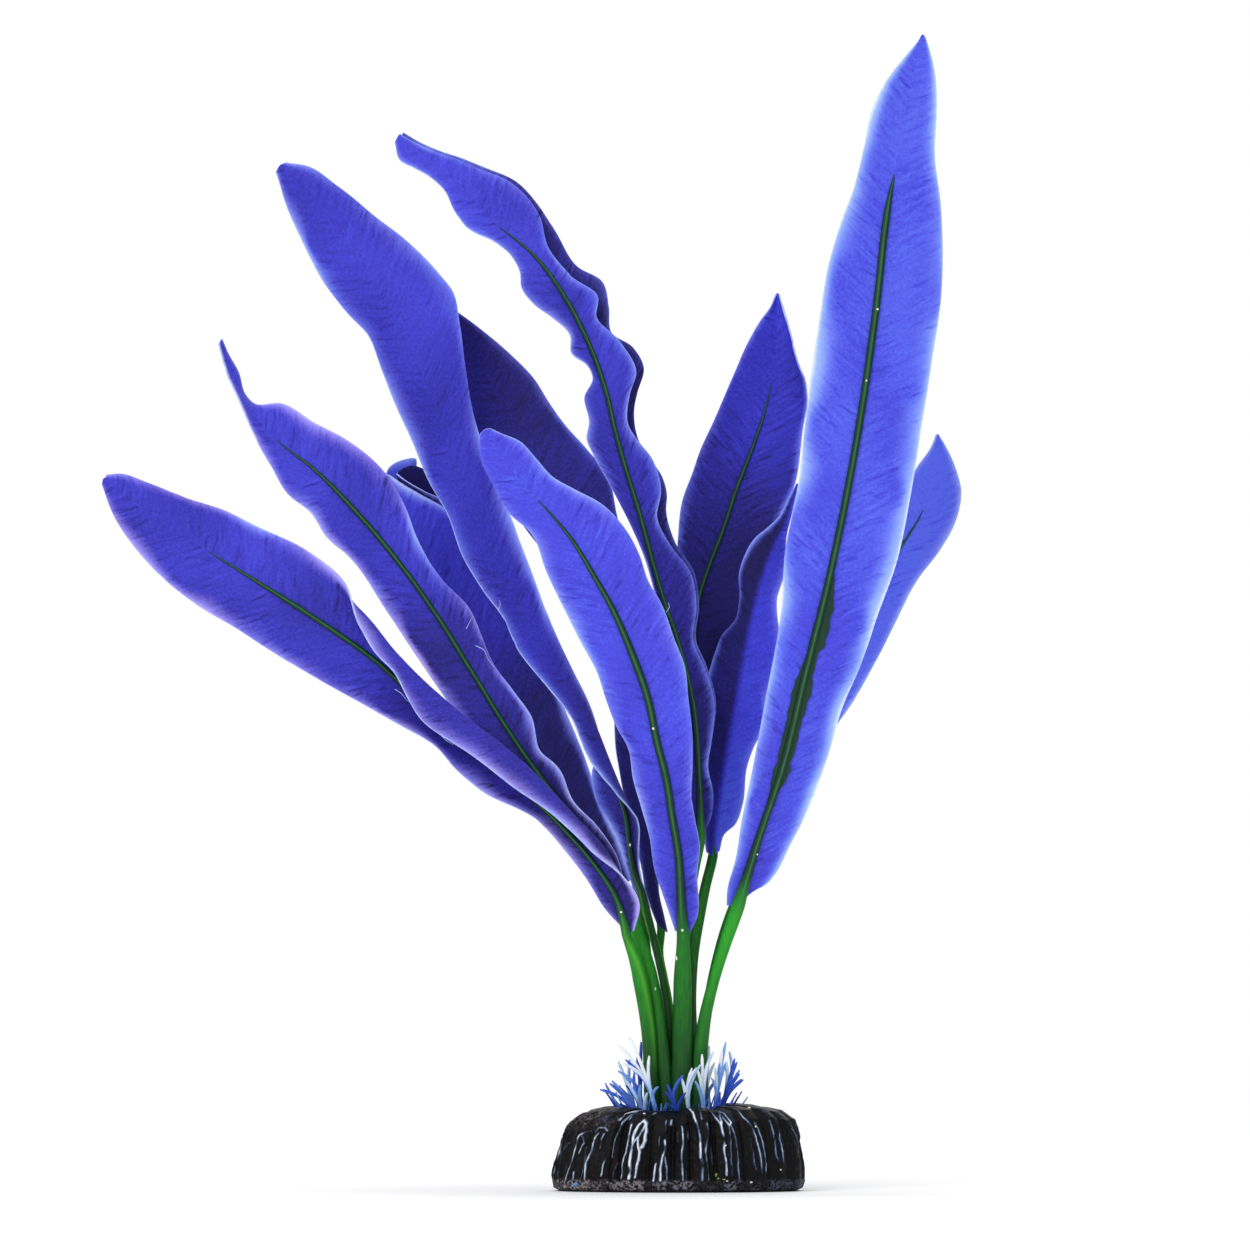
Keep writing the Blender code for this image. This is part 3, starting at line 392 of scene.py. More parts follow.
@dataclass(frozen=True)
class BrushedResin:
    """Cast resin rock under satin lacquer, black, with blue-grey and white dragged over its crests.

    A dry brush catches only what stands out, so the paint is broken and lies in upright streaks.

    name: the material's name
    ground: the lacquer's blacks
    paint, paint_right: the brushed paint at the left and the right end, from thin to thick
    wash_left, wash_right: the wash round the foot at both ends
    grain: size of the resin's grain
    brush: distance between the brush's streaks
    """

    name: str = "brushed_cast_resin"
    ground: Stops = ((0.3, "040304"), (0.55, "0C090C"), (0.8, "1C171C"))
    paint: Stops = ((0.0, "2C3540"), (0.35, "66738A"), (0.7, "AEB4C2"), (1.0, "ECEEF2"))
    paint_right: Stops = ((0.0, "1B2A44"), (0.35, "4A6690"), (0.7, "8FA9C6"), (1.0, "DDE6F0"))
    wash_left: str = "A59B9F"
    wash_right: str = "4C5A78"
    grain: float = 0.8
    brush: float = 0.55

    def make(self) -> bpy.types.Material:
        """Build the material.

        Returns:
            The material, which reads the attribute rock (paint, wash, and place from left to
            right, each 0 to 1).
        """
        material, tree, shader = new_material(self.name)
        rock = add(tree, "ShaderNodeAttribute", attribute_name="rock").outputs["Vector"]
        paint, wash, side = add(tree, "ShaderNodeSeparateXYZ", {0: rock}).outputs
        place = add(tree, "ShaderNodeTexCoord").outputs["Object"]
        grain = add(tree, "ShaderNodeTexNoise",
                    {"Vector": place, "Scale": 1 / (self.grain * MM), "Detail": 4.0,
                     "Roughness": 0.65})
        dragged = add(tree, "ShaderNodeMapping", {"Vector": place, "Scale": (1.0, 1.0, 0.3)})
        brush = add(tree, "ShaderNodeTexNoise",
                    {"Vector": dragged, "Scale": 1 / (self.brush * MM), "Detail": 3.0,
                     "Roughness": 0.6})
        black = add(tree, "ShaderNodeValToRGB", {"Fac": grain}, stops=self.ground)
        caught = add(tree, "ShaderNodeMath", {0: brush, 1: 1.6, 2: -0.75}, operation="MULTIPLY_ADD")
        caught = add(tree, "ShaderNodeMath", {0: caught, 1: paint}, operation="ADD")
        caught = add(tree, "ShaderNodeMath", {0: caught, 1: paint}, operation="MULTIPLY",
                     use_clamp=True)
        left = add(tree, "ShaderNodeValToRGB", {"Fac": caught}, stops=self.paint)
        right = add(tree, "ShaderNodeValToRGB", {"Fac": caught}, stops=self.paint_right)
        streak = add(tree, "ShaderNodeMix", {0: side, 6: left, 7: right}, data_type="RGBA")
        share = add(tree, "ShaderNodeMapRange",
                    {"Value": caught, "From Min": 0.05, "From Max": 0.32})
        colour = add(tree, "ShaderNodeMix", {0: share, 6: black, 7: streak}, data_type="RGBA")
        dust = add(tree, "ShaderNodeMix",
                   {0: side, 6: linear(self.wash_left), 7: linear(self.wash_right)},
                   data_type="RGBA")
        held = add(tree, "ShaderNodeMapRange",
                   {"Value": grain, "From Min": 0.45, "From Max": 0.62, "To Max": 0.85})
        held = add(tree, "ShaderNodeMath", {0: held, 1: wash}, operation="MULTIPLY")
        colour = add(tree, "ShaderNodeMix", {0: held, 6: colour, 7: dust}, data_type="RGBA")
        bump = add(tree, "ShaderNodeBump", {"Height": grain, "Distance": 0.2 * MM, "Strength": 0.8})
        fill(tree, shader, {"Base Color": colour, "Normal": bump, "Roughness": 0.5, "IOR": 1.5,
                            "Specular IOR Level": 0.12})
        return material


@dataclass(frozen=True)
class PlainFinish:
    """A small plain part: a bead of glue, a chip of paint or the paper floor.

    A slow noise keeps it from being one flat colour.

    name: the material's name
    colour, second: the two shades
    scale: size of the noise
    roughness: of the surface
    """

    name: str
    colour: str
    second: str
    scale: float
    roughness: float

    def make(self) -> bpy.types.Material:
        """Build the material."""
        material, tree, shader = new_material(self.name)
        place = add(tree, "ShaderNodeTexCoord").outputs["Object"]
        cloud = add(tree, "ShaderNodeTexNoise", {"Vector": place, "Scale": 1 / (self.scale * MM)})
        colour = add(tree, "ShaderNodeValToRGB", {"Fac": cloud},
                     stops=((0.35, self.colour), (0.65, self.second)))
        fill(tree, shader, {"Base Color": colour, "Roughness": self.roughness})
        return material


# Curves and surfaces


def hermite(start: np.ndarray, end: np.ndarray, slope_start: np.ndarray, slope_end: np.ndarray,
            span: np.ndarray, reach: np.ndarray) -> np.ndarray:
    """Cubic between two points with given slopes, row by row.

    Args:
        start: points at the start of each span.
        end: points at its end.
        slope_start: slopes at its start.
        slope_end: slopes at its end.
        span: the spans' lengths.
        reach: how far along each span to read.

    Returns:
        The points.
    """
    span = np.asarray(span, float)[..., None]
    t = np.asarray(reach, float)[..., None] / span
    return (start * (2 * t ** 3 - 3 * t ** 2 + 1) + slope_start * span * (t ** 3 - 2 * t ** 2 + t)
            + end * (3 * t ** 2 - 2 * t ** 3) + slope_end * span * (t ** 3 - t ** 2))


def ease(value: np.ndarray | float, low: float, high: float) -> np.ndarray:
    """Smooth step from 0 at low to 1 at high."""
    t = np.clip((np.asarray(value, float) - low) / (high - low), 0.0, 1.0)
    return t * t * (3 - 2 * t)


def noise_at(x: np.ndarray | float, y: np.ndarray | float, z: np.ndarray | float) -> np.ndarray:
    """Smooth noise at points whose coordinates come apart and are broadcast together."""
    grid = np.stack(np.broadcast_arrays(x, y, z), -1)
    return np.array([noise.noise(Vector(p)) for p in grid.reshape(-1, 3)]).reshape(grid.shape[:-1])


def wander(places: np.ndarray, pitch: float, row: float) -> np.ndarray:
    """Slow noise along a line.

    Args:
        places: distances along the line.
        pitch: distance over which the noise changes.
        row: which line of the noise to read.

    Returns:
        Values between about -1 and 1.
    """
    return noise_at(places / pitch, row * 7.3, 0.5) * 2


class Path:
    """A smooth curve through points, read by the fraction of its length."""

    def __init__(self, points: Guide | np.ndarray) -> None:
        """Work out the curve's knots and slopes.

        Args:
            points: the curve's points in order.
        """
        self.points = np.array(points, float)
        steps = np.diff(self.points, axis=0)
        spans = np.linalg.norm(steps, axis=1)
        self.knots = np.concatenate(([0.0], np.cumsum(spans)))
        steps /= spans[:, None]
        before, after = spans[:-1, None], spans[1:, None]
        inner = (steps[:-1] * after + steps[1:] * before) / (before + after)
        self.slopes = np.vstack((steps[:1], inner, steps[-1:]))

    @property
    def length(self) -> float:
        """Length from the first point to the last."""
        return float(self.knots[-1])

    def at(self, fractions: np.ndarray) -> np.ndarray:
        """Points at fractions of the length, one in each row."""
        reach = np.clip(fractions, 0.0, 1.0) * self.length
        i = np.clip(np.searchsorted(self.knots, reach) - 1, 0, len(self.knots) - 2)
        return hermite(self.points[i], self.points[i + 1], self.slopes[i], self.slopes[i + 1],
                       self.knots[i + 1] - self.knots[i], reach - self.knots[i])


def quads(index: np.ndarray) -> np.ndarray:
    """The corners of every quad in a grid of point numbers."""
    corners = (index[:-1, :-1], index[:-1, 1:], index[1:, 1:], index[1:, :-1])
    return np.stack(corners, axis=-1).reshape(-1, 4)


def grid_mesh(name: str, points: np.ndarray, around: bool = False) -> bpy.types.Mesh:
    """Lay quads over a grid of points.

    Args:
        name: the mesh's name.
        points: rows by columns of points, in millimetres.
        around: join the last column to the first.

    Returns:
        The mesh, smooth, in metres.
    """
    rows, columns = points.shape[:2]
    index = np.arange(rows * columns).reshape(rows, columns)
    if around:
        index = np.hstack((index, index[:, :1]))
    mesh = bpy.data.meshes.new(name)
    mesh.from_pydata((points.reshape(-1, 3) * MM).tolist(), [], quads(index).tolist())
    mesh.shade_smooth()
    return mesh


def store(mesh: bpy.types.Mesh, name: str, values: np.ndarray) -> None:
    """Store a number or a vector for each of the mesh's points.

    Args:
        mesh: the mesh.
        name: the attribute's name.
        values: one value, or three, for each point.
    """
    vector = values.shape[-1] == 3 and values.ndim > 1
    kind, key = ("FLOAT_VECTOR", "vector") if vector else ("FLOAT", "value")
    mesh.attributes.new(name, kind, "POINT").data.foreach_set(key, values.astype(float).ravel())


def link(name: str, mesh: bpy.types.Mesh, *finishes: bpy.types.Material) -> bpy.types.Object:
    """Put a mesh in the scene.

    Args:
        name: the object's name.
        mesh: its mesh.
        finishes: its materials in slot order.

    Returns:
        The object.
    """
    result = bpy.data.objects.new(name, mesh)
    bpy.context.scene.collection.objects.link(result)
    for finish in finishes:
        mesh.materials.append(finish)
    return result


def run(piece: bpy.types.Object, tree: bpy.types.NodeTree, keys: dict[str, str],
        values: dict[str, Any]) -> bpy.types.Object:
    """Run a Geometry Nodes tree on a piece and keep the result as a plain mesh of the same name.

    Args:
        piece: the piece with what goes into the tree.
        tree: the tree.
        keys: each input's identifier by its name.
        values: the inputs' values by their names.

    Returns:
        The piece.
    """
    nodes = piece.modifiers.new(tree.name, "NODES")
    nodes.node_group = tree
    for name, value in values.items():
        nodes[keys[name]] = value
    evaluated = piece.evaluated_get(bpy.context.evaluated_depsgraph_get())
    mesh = bpy.data.meshes.new_from_object(evaluated)
    rough, piece.data = piece.data, mesh
    piece.modifiers.clear()
    mesh.name = rough.name
    bpy.data.meshes.remove(rough)
    return piece


def put(piece: bpy.types.Object, slot: Slot, *nodes: str) -> bpy.types.Object:
    """Ride a piece on the plant and stand it for its solids.

    Args:
        piece: the finished piece.
        slot: the record's slot; not used.
        nodes: the solids that it replaces.

    Returns:
        The piece.
    """
    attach(piece, ROOT)
    if nodes:
        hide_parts(*nodes)
    piece.data.calc_loop_triangles()
    LOG.info("%s: %d triangles", piece.name, len(piece.data.loop_triangles))
    return piece


# Leaves


@dataclass(frozen=True)
class DyeAndPaintedLight:
    """How the dye lies on a blade, with painted light and shade in it.

    depth: how deep it is in the middle, from 0, pale, to 1, nearly black; leaves that lie behind or
    in the shade of others are given a deeper value as painted shade
    foot: painted shade towards the stem: how much deeper it is there, below 0 paler
    tip: painted light and shade at the tip: how much deeper it is there, below 0 paler
    split: painted shade on the half by the first guide: how much deeper it is than the other half
    left: width of the pale margin along the first guide, in millimetres
    right: width of the pale margin along the last guide
    pale: how pale the margins are, 0 to 1, from the dye's run-out and from a painted glow of light
    through the thin cloth; kept low on leaves in shade as painted shade
    blush: how lilac they are
    """

    # Painted light and shade: depth, foot, tip and the shaded half darken blades where they lie in
    # shade and lighten them where light falls, and pale holds a painted glow through the margins
    depth: float
    foot: float = 0.25
    tip: float = 0.0
    split: float = 0.0
    left: float = 3.0
    right: float = 3.0
    pale: float = 0.6
    blush: float = 0.1


@dataclass(frozen=True)
class Leaf:
    """A leaf: a blade hung between guide curves from base to tip, and its stem, in millimetres.

    name: the leaf's name
    guides: the curves in order across the blade, from one margin to the other
    stem: points from the foot up to the blade
    dye: how the dye lies on the blade, with painted light and shade in it
    widths: widths of the stem at the foot, at its waist and where the blade starts, and of the rib
    face: the face that carries the midrib
    rib_lift: extra distance of the rib from the blade, where the blade folds round it
    rib_end: how far up the blade the rib reaches, 0 to 1
    taper: length over which the rib runs out to a point
    shaded_tones: brightness of the stem's green at the foot and at the blade; the darker foot and
    the darker stems of leaves in shade are painted shade
    ridge_highlight: how strong the painted yellow highlight along the stem's ridge is
    turn: how far the stem's ridge, and the painted highlight on it, lies round to the right, in
    degrees
    across: where each guide lies across the blade, with the rib at 0.5
    """

    name: str
    guides: tuple[Guide, ...]
    stem: Guide
    dye: DyeAndPaintedLight
    widths: tuple[float, float, float, float] = (3.0, 2.4, 2.2, 1.3)
    face: Face = Face.FRONT
    rib_lift: float = 0.0
    rib_end: float = 0.8
    taper: float = 26.0
    # Painted shade in the stem's green, and a painted highlight along its ridge
    shaded_tones: tuple[float, float] = (0.25, 0.75)
    ridge_highlight: float = 0.12
    turn: float = 0.0
    across: tuple[float, ...] = (0.0, 0.5, 1.0)


# Painted light and shade in the leaves' values: leaves that lie behind or in the shade of others
# get a deeper dye, less pale margins and darker stems, and the foot, tip and shaded half values
# paint shade and light over parts of a blade
FAR_LEFT = Leaf(
    name="far_left",
    dye=DyeAndPaintedLight(0.44, foot=0.3, left=3.0, right=2.5, pale=0.5, blush=0.35),
    widths=(4.8, 4.3, 2.6, 1.4),
    ridge_highlight=0.6,
    turn=45.0,
    shaded_tones=(0.2, 0.8),
    guides=(
        ((-13.8, -8, 67.6), (-18.8, -9, 73), (-23.8, -11, 81), (-28.8, -13, 87.7), (-36.2, -15, 96),
         (-51.4, -19, 104.2), (-57.5, -20.6, 109.4), (-62.6, -22, 115.2), (-72.5, -24, 121.2),
         (-80, -25.2, 125.4), (-88.5, -26.5, 130.2), (-98, -27.4, 135.6), (-105, -28, 139.8),
         (-113.5, -28.8, 145.4), (-122.5, -29.5, 150.7), (-137.5, -30.5, 163.2),
         (-146.2, -30.5, 175.6), (-149, -30, 183)),
        ((-13.2, -8, 66.8), (-16, -9.5, 76), (-22.5, -11.5, 86), (-29.5, -13, 94),
         (-46, -16.5, 109.5), (-64.5, -19.5, 124.5), (-78.5, -21.5, 137.5), (-93.5, -23.5, 148),
         (-106, -25, 156), (-122, -26.5, 166), (-137.5, -28.5, 175.5), (-148.7, -30, 184.5)),
        ((-12.4, -8.5, 67.2), (-13.5, -10.5, 77), (-18.5, -14, 88), (-26, -16, 96.5),
         (-41, -19.5, 112), (-58.4, -22.3, 125.8), (-73.2, -22.8, 139.5), (-82.2, -22.3, 150.3),
         (-90, -22.3, 155.4), (-103, -23.5, 162), (-120, -25, 171), (-135, -27.5, 179),
         (-148, -29.5, 185)),
        ((-11.4, -9, 67.6), (-10, -11.5, 74), (-14, -15, 81.5), (-20.5, -18.5, 86.5),
         (-27, -20.5, 93), (-33.5, -22, 98.5), (-43, -24, 105), (-54, -26, 113.5),
         (-66.5, -27.5, 122.5), (-73.9, -28, 134.9), (-78.3, -27.8, 139.4), (-82.3, -27.2, 146.8),
         (-86.5, -25.5, 157.8), (-95.8, -23.4, 165.9), (-109.2, -22.6, 172.4), (-118, -23, 176.7),
         (-126.5, -24.5, 179.4), (-137.5, -27, 183.6), (-144.5, -28.5, 185.9),
         (-148, -29.5, 185.6)),
    ),
    across=(0.0, 0.5, 0.75, 1.0),
    stem=((-6.1, -3.8, FOOT_Z), (-6.9, -4.4, 28), (-7.5, -5, 40), (-8.9, -5.8, 50),
          (-11.1, -7, 60)),
    rib_end=0.82,
)

LEFT = Leaf(
    name="left",
    dye=DyeAndPaintedLight(0.34, foot=0.6, left=2.5, right=3.0, pale=0.5, blush=0.35),
    widths=(3.8, 3.6, 2.6, 1.4),
    shaded_tones=(0.25, 0.9),
    guides=(
        ((-15.5, -4, 80), (-24.5, -6, 88.5), (-34.5, -8.5, 98.5), (-45, -10.5, 109),
         (-54.5, -12, 120.2), (-63.2, -13, 132), (-70.2, -14, 142.3), (-75.7, -14.5, 150.6),
         (-84.8, -15.5, 164), (-91.4, -15.8, 170), (-95.2, -16, 176), (-101.3, -16.5, 181),
         (-105.8, -17, 188.5), (-112.4, -19, 202), (-116.3, -21, 210.5), (-118.9, -22, 219.5)),
        ((-14.6, -3.5, 79.5), (-20.5, -5, 88.5), (-29, -6.5, 99), (-41.5, -8.5, 115.5),
         (-53.5, -10, 134.5), (-62.5, -11, 149), (-72.5, -12, 163), (-82.5, -13, 175),
         (-96, -14, 188.5), (-102, -14.5, 193), (-111.5, -16, 203.5), (-115.5, -18.5, 211),
         (-118.6, -21, 220.5)),
        ((-14, -4, 80), (-16, -6, 87), (-20.5, -8, 94), (-27, -10, 101), (-31, -10, 109.5),
         (-36, -10, 114.5), (-38, -9, 123), (-42.5, -10, 129.5), (-48, -9.5, 137),
         (-51, -11, 144), (-54, -10.5, 151), (-61.5, -12, 159), (-65, -11, 164),
         (-68, -12.5, 170), (-71, -12, 178), (-76.5, -13, 187), (-86, -13.5, 195),
         (-94.5, -13, 199.5), (-103, -12.5, 204.5), (-110, -12, 204.5), (-112.5, -14, 207),
         (-114, -16.5, 212.5), (-117, -19, 218), (-118.3, -20.5, 221)),
    ),
    stem=((-2.6, -3.8, FOOT_Z), (-3.4, -3.6, 30), (-4.9, -3, 42), (-7.2, -2.4, 56),
          (-11.3, -2.4, 69)),
    rib_end=0.83,
)

ROLLED = Leaf(
    name="rolled",
    dye=DyeAndPaintedLight(0.64, foot=0.3, tip=-0.45, left=4.0, right=2.0, pale=0.65),
    widths=(3.0, 2.8, 2.4, 1.2),
    shaded_tones=(0.2, 0.45),
    guides=(
        ((-12.2, 9.6, 80.9), (-19, 14.5, 93), (-25, 18.5, 108), (-32, 21, 122), (-40.5, 22.5, 138),
         (-48.5, 23.5, 152), (-55.5, 24, 165), (-61, 24, 177), (-65.8, 23.6, 184.6),
         (-68.6, 22.9, 188.8), (-68.6, 22.3, 190.8), (-71.7, 21, 190.7), (-74.4, 19.4, 189.5),
         (-75.7, 18, 188.3), (-76.1, 17, 187.4)),
        ((-14, 6.9, 79.4), (-21.3, 9, 92.3), (-31.6, 11, 106.6), (-40.2, 12.5, 123.5),
         (-50.3, 13.5, 139), (-59.8, 14.5, 153.5), (-68.2, 15, 167.5), (-73, 15.5, 178),
         (-75.4, 15.8, 184.5), (-76.2, 16.2, 186.7)),
        ((-12, 4.2, 81), (-15.5, 6, 91.3), (-20, 8, 100.6), (-22.3, 9, 107),
         (-25.9, 9, 116.7), (-29.9, 9, 126), (-35.9, 9.5, 138), (-43.7, 10, 153.4),
         (-51.5, 10.2, 165), (-60.3, 10.5, 177.3), (-67, 11, 181.2), (-72.3, 12, 184.3),
         (-75.4, 14.3, 186.4)),
    ),
    stem=((-6.4, 0, FOOT_Z), (-6, 0.4, 30), (-6.2, 1.2, 44), (-7.8, 2.6, 58), (-11.4, 4.4, 70)),
    rib_end=0.7,
)

# Lies inside the fold of the rolled leaf and shows at its tip. Its nearly black dye is painted
# shade inside the fold
NESTED = Leaf(
    name="nested",
    dye=DyeAndPaintedLight(0.9, foot=0.1, left=1.5, right=1.5, pale=0.3),
    widths=(2.6, 2.2, 1.8, 0.8),
    guides=(
        ((-13.6, 10.4, 86.8), (-17.6, 13, 95), (-24.5, 16, 108), (-31, 18.2, 122),
         (-39, 19.6, 138), (-47, 20.6, 152), (-54, 21, 165), (-59.5, 21, 177),
         (-63.4, 20.4, 184.8), (-67.3, 19.4, 188.5), (-69.7, 18.6, 189), (-71.8, 17.8, 188.4),
         (-73, 17.2, 187.6)),
        ((-14.4, 8.6, 86), (-19.4, 10.6, 93), (-28.6, 13.2, 106.6), (-37, 14.8, 123.5),
         (-47, 15.9, 139), (-56.4, 16.7, 153.5), (-64.6, 17, 167.5), (-69.6, 16.9, 177.5),
         (-72.4, 16.6, 184), (-73.4, 16.5, 186.8)),
        ((-13.4, 6.9, 86.8), (-16.6, 7.8, 92), (-20.8, 10.2, 100), (-25, 11.4, 108),
         (-28.5, 11.6, 117), (-32.5, 11.8, 126), (-38.5, 12, 138), (-46, 12.4, 153),
         (-53.5, 12.6, 165), (-59.8, 12.8, 176), (-61.9, 13, 180.2), (-65.8, 13.4, 181.9),
         (-69.7, 14, 184), (-71.6, 14.8, 185.3), (-73.2, 15.8, 186.6)),
    ),
    stem=((-7.8, 3.6, FOOT_Z), (-7.6, 4.2, 30), (-7.4, 5.4, 44), (-7.7, 6.9, 58), (-9, 7.9, 69),
          (-10.8, 8.2, 78)),
    face=Face.BACK,
    rib_end=0.08,
)

TURNED = Leaf(
    name="turned",
    dye=DyeAndPaintedLight(0.38, foot=0.38, tip=0.08, left=2.5, right=3.5, pale=0.45),
    widths=(3.6, 3.1, 2.8, 1.3),
    shaded_tones=(0.1, 0.35),
    ridge_highlight=1.0,
    turn=60.0,
    guides=(
        ((-7.1, 0, 74), (-9.9, -1, 82.7), (-10.1, -2.5, 89.4), (-10.1, -4, 95.2),
         (-15.9, -5.5, 103.2), (-22.4, -5, 111), (-27.8, -3, 123), (-34.3, -1, 131.3),
         (-41.3, 0, 140.1), (-45.5, 1, 149.2), (-50.7, 1.5, 156.3), (-55.4, 2, 163.5),
         (-60.3, 3, 176.8), (-64.5, 3.5, 183.8), (-69.3, 4, 195), (-74.1, 5, 205.7),
         (-77.2, 5.5, 213.7), (-80.9, 6, 222.8), (-85.8, 6.5, 228), (-91.5, 7, 235.3),
         (-97.8, 8, 247), (-102.9, 9.5, 258.7), (-105, 10.5, 265.6)),
        ((-7.6, 0.5, 73.5), (-8.8, 0.5, 78), (-10.7, 0.5, 83), (-11.6, 0.5, 88), (-13.2, 0.7, 99),
         (-15.9, 1, 106.6), (-18.2, 1.5, 112.6), (-21.4, 2, 119.5), (-25, 2.5, 126),
         (-31.4, 3.4, 135), (-40.6, 5, 152.6), (-48.9, 6, 166.7), (-53.3, 7, 180), (-60.1, 8, 194),
         (-65, 9, 208), (-71.2, 10, 222.3), (-78.5, 10.5, 234.8), (-86.3, 11.5, 246.5),
         (-93.6, 12, 256.4), (-99.3, 12, 262.6), (-104, 11.5, 267.3)),
        ((-8.1, 1, 73.7), (-12.2, 1.5, 80.3), (-13.8, 2, 86), (-17.8, 3, 96), (-21.3, 4, 101.7),
         (-22.4, 6, 107.9), (-20.6, 8, 115.7), (-22.2, 7, 123.5), (-28, 6.5, 136.2),
         (-33.8, 7, 149.2), (-38.7, 8, 162.2), (-42.9, 9, 173.4), (-46.3, 10, 183.3),
         (-52, 10.5, 197), (-55.6, 11, 215), (-57, 11, 226.2), (-58.8, 11.5, 234.4),
         (-62.1, 12, 238.7), (-71, 13, 247.8), (-79, 13.5, 254), (-88.9, 13.5, 262),
         (-96.5, 13, 267.1), (-102.4, 12, 268.1)),
    ),
    stem=((-2.4, 0, FOOT_Z), (-2, 0, 36), (-2.5, 0.2, 48), (-4.3, 0.3, 57.3), (-6.5, 0, 66)),
    face=Face.BACK,
    rib_lift=0.6,
    rib_end=0.82,
)

WAVY_MARGIN_LEFT = (
    (5.2, -1, 91.5), (2.6, -2.5, 101.4), (0.5, -3.5, 114.4), (-0.8, -4.5, 127.4),
    (-2.6, -5, 140.4), (-5.5, -6, 153.4), (-9.1, -7, 165.4), (-13, -8, 174.2),
    (-18.2, -9.5, 184.3), (-22.1, -11, 191.4), (-23.7, -12, 195.3), (-23.1, -10, 199.7),
    (-24.2, -11.5, 206.2), (-22.1, -9.5, 211.1), (-23.7, -11.5, 214.5), (-27.6, -13, 217.4),
    (-28.1, -11, 222.3), (-32.5, -12, 226.7), (-37.4, -13, 230.4), (-40.6, -12.5, 234.5),
    (-41.1, -11, 238.9), (-43.7, -11, 243.4), (-47.3, -12.5, 246.2), (-54.9, -13, 250.4),
    (-58.2, -12, 254.8), (-60.6, -11, 259.7), (-64, -12, 263.1), (-68.4, -12.5, 265.5),
    (-72.3, -12, 267.8), (-73.6, -11, 272.5),
)
WAVY_RIB = (
    (5.7, -0.5, 92), (5.5, -0.5, 101.4), (4.9, -1, 114.4), (3.6, -2, 127.4), (0.5, -3.5, 140.4),
    (-4.2, -5, 154.4), (-9.1, -7, 172.4), (-15.1, -8, 192.1), (-20.8, -8.5, 213.5),
    (-29.4, -9, 231.7), (-37.4, -9, 242.8), (-47.6, -9, 251.4), (-55.4, -9, 260),
    (-64.5, -9.5, 267.8), (-72.8, -10.5, 274),
)
WAVY_MARGIN_RIGHT = (
    (6.2, -0.5, 92), (8.6, 0.5, 97.2), (9.1, 1, 103), (7.8, -0.5, 110.5), (8.6, 1, 116.7),
    (9.4, 0.5, 127.4), (6.8, -1.5, 136.2), (3.9, -2.5, 143), (4.7, -1.5, 151.6),
    (3.4, -3, 160.4), (-2.1, -6, 168), (-5.5, -7, 175.2), (-4.4, -5.5, 182), (-6.8, -6.5, 190.3),
    (-10.7, -7.5, 195.3), (-13, -8.5, 199.2), (-12.5, -7, 207.2), (-10.9, -6, 212.7),
    (-15.1, -7.5, 220.7), (-21.3, -8.5, 227.5), (-20.8, -6.5, 232.4), (-27.6, -7.5, 237.6),
    (-33.8, -7, 245.2), (-36.1, -5, 253.5), (-44.2, -6, 262.6), (-51.5, -7, 265.5),
    (-56.7, -7, 267.8), (-63.4, -8.5, 270.1), (-69.7, -9, 273), (-72.3, -10, 274.6),
)
# The second wavy leaf lies close behind the first one and keeps most of its waves: how far it
# stands off at the base and at the tip
NEST_BASE = (0.2, 5.0, 0.3)
NEST_TIP = (0.9, 5.0, 0.3)
WAVY_BACK_MARGIN_RIGHT = (
    (6.4, 4.5, 92.3), (8.6, 5.5, 97.5), (9.2, 6, 103.3), (8, 4.5, 110.8), (8.8, 6, 117),
    (9.8, 5.5, 127.7), (7.4, 3.5, 136.5), (4.6, 2.5, 143.3), (5.4, 3.5, 151.9),
    (4.2, 2, 160.7), (-0.9, -1, 169), (-3.1, -1.5, 177.3), (-2.9, -1, 180.6), (-4.4, -1.4, 186.2),
    (-7, -2.2, 189.9), (-10.4, -3, 195.6), (-11.4, -2.6, 203.2), (-10.6, -1.6, 207.4),
    (-9, -0.8, 214.3), (-11.8, -1.6, 219.4), (-17.4, -3, 223.3), (-18, -2.4, 229.7),
    (-19.5, -1.8, 236.1), (-26.4, -2.4, 240.6), (-32.4, -1.4, 250.4), (-36.5, -0.6, 256.5),
    (-42.3, -1, 262.6), (-49.5, -1.8, 265.9), (-55.5, -2, 268.3), (-62.5, -3.4, 270.6),
    (-69, -4.2, 273.6), (-71.6, -5, 275.1),
)


def nested(points: Guide) -> Guide:
    """A guide of the second wavy leaf, moved off the same guide of the first."""
    moves = np.linspace(NEST_BASE, NEST_TIP, len(points))
    return tuple(tuple(point) for point in np.array(points) + moves)


WAVY_FRONT = Leaf(
    name="wavy_front",
    dye=DyeAndPaintedLight(0.45, foot=0.35, tip=-0.15, left=3.0, right=3.5, pale=0.45),
    widths=(2.8, 2.6, 2.4, 1.4),
    guides=(WAVY_MARGIN_LEFT, WAVY_RIB, WAVY_MARGIN_RIGHT),
    stem=((0.8, 0, FOOT_Z), (0.6, -0.9, 35), (0.5, -1.8, 52), (1.8, -2.2, 72), (3.8, -2, 84)),
    rib_end=0.83,
)

WAVY_BACK = Leaf(
    name="wavy_back",
    dye=DyeAndPaintedLight(0.7, foot=0.25, left=2.5, right=2.5, pale=0.38),
    widths=(2.8, 2.4, 2.2, 1.2),
    guides=(nested(WAVY_MARGIN_LEFT), nested(WAVY_RIB), WAVY_BACK_MARGIN_RIGHT),
    stem=((0, 3.8, FOOT_Z), (0.2, 4.4, 35), (0.7, 5, 50), (1.3, 4.6, 62), (2.6, 3.8, 73),
          (4.4, 3.4, 83)),
    rib_end=0.83,
)

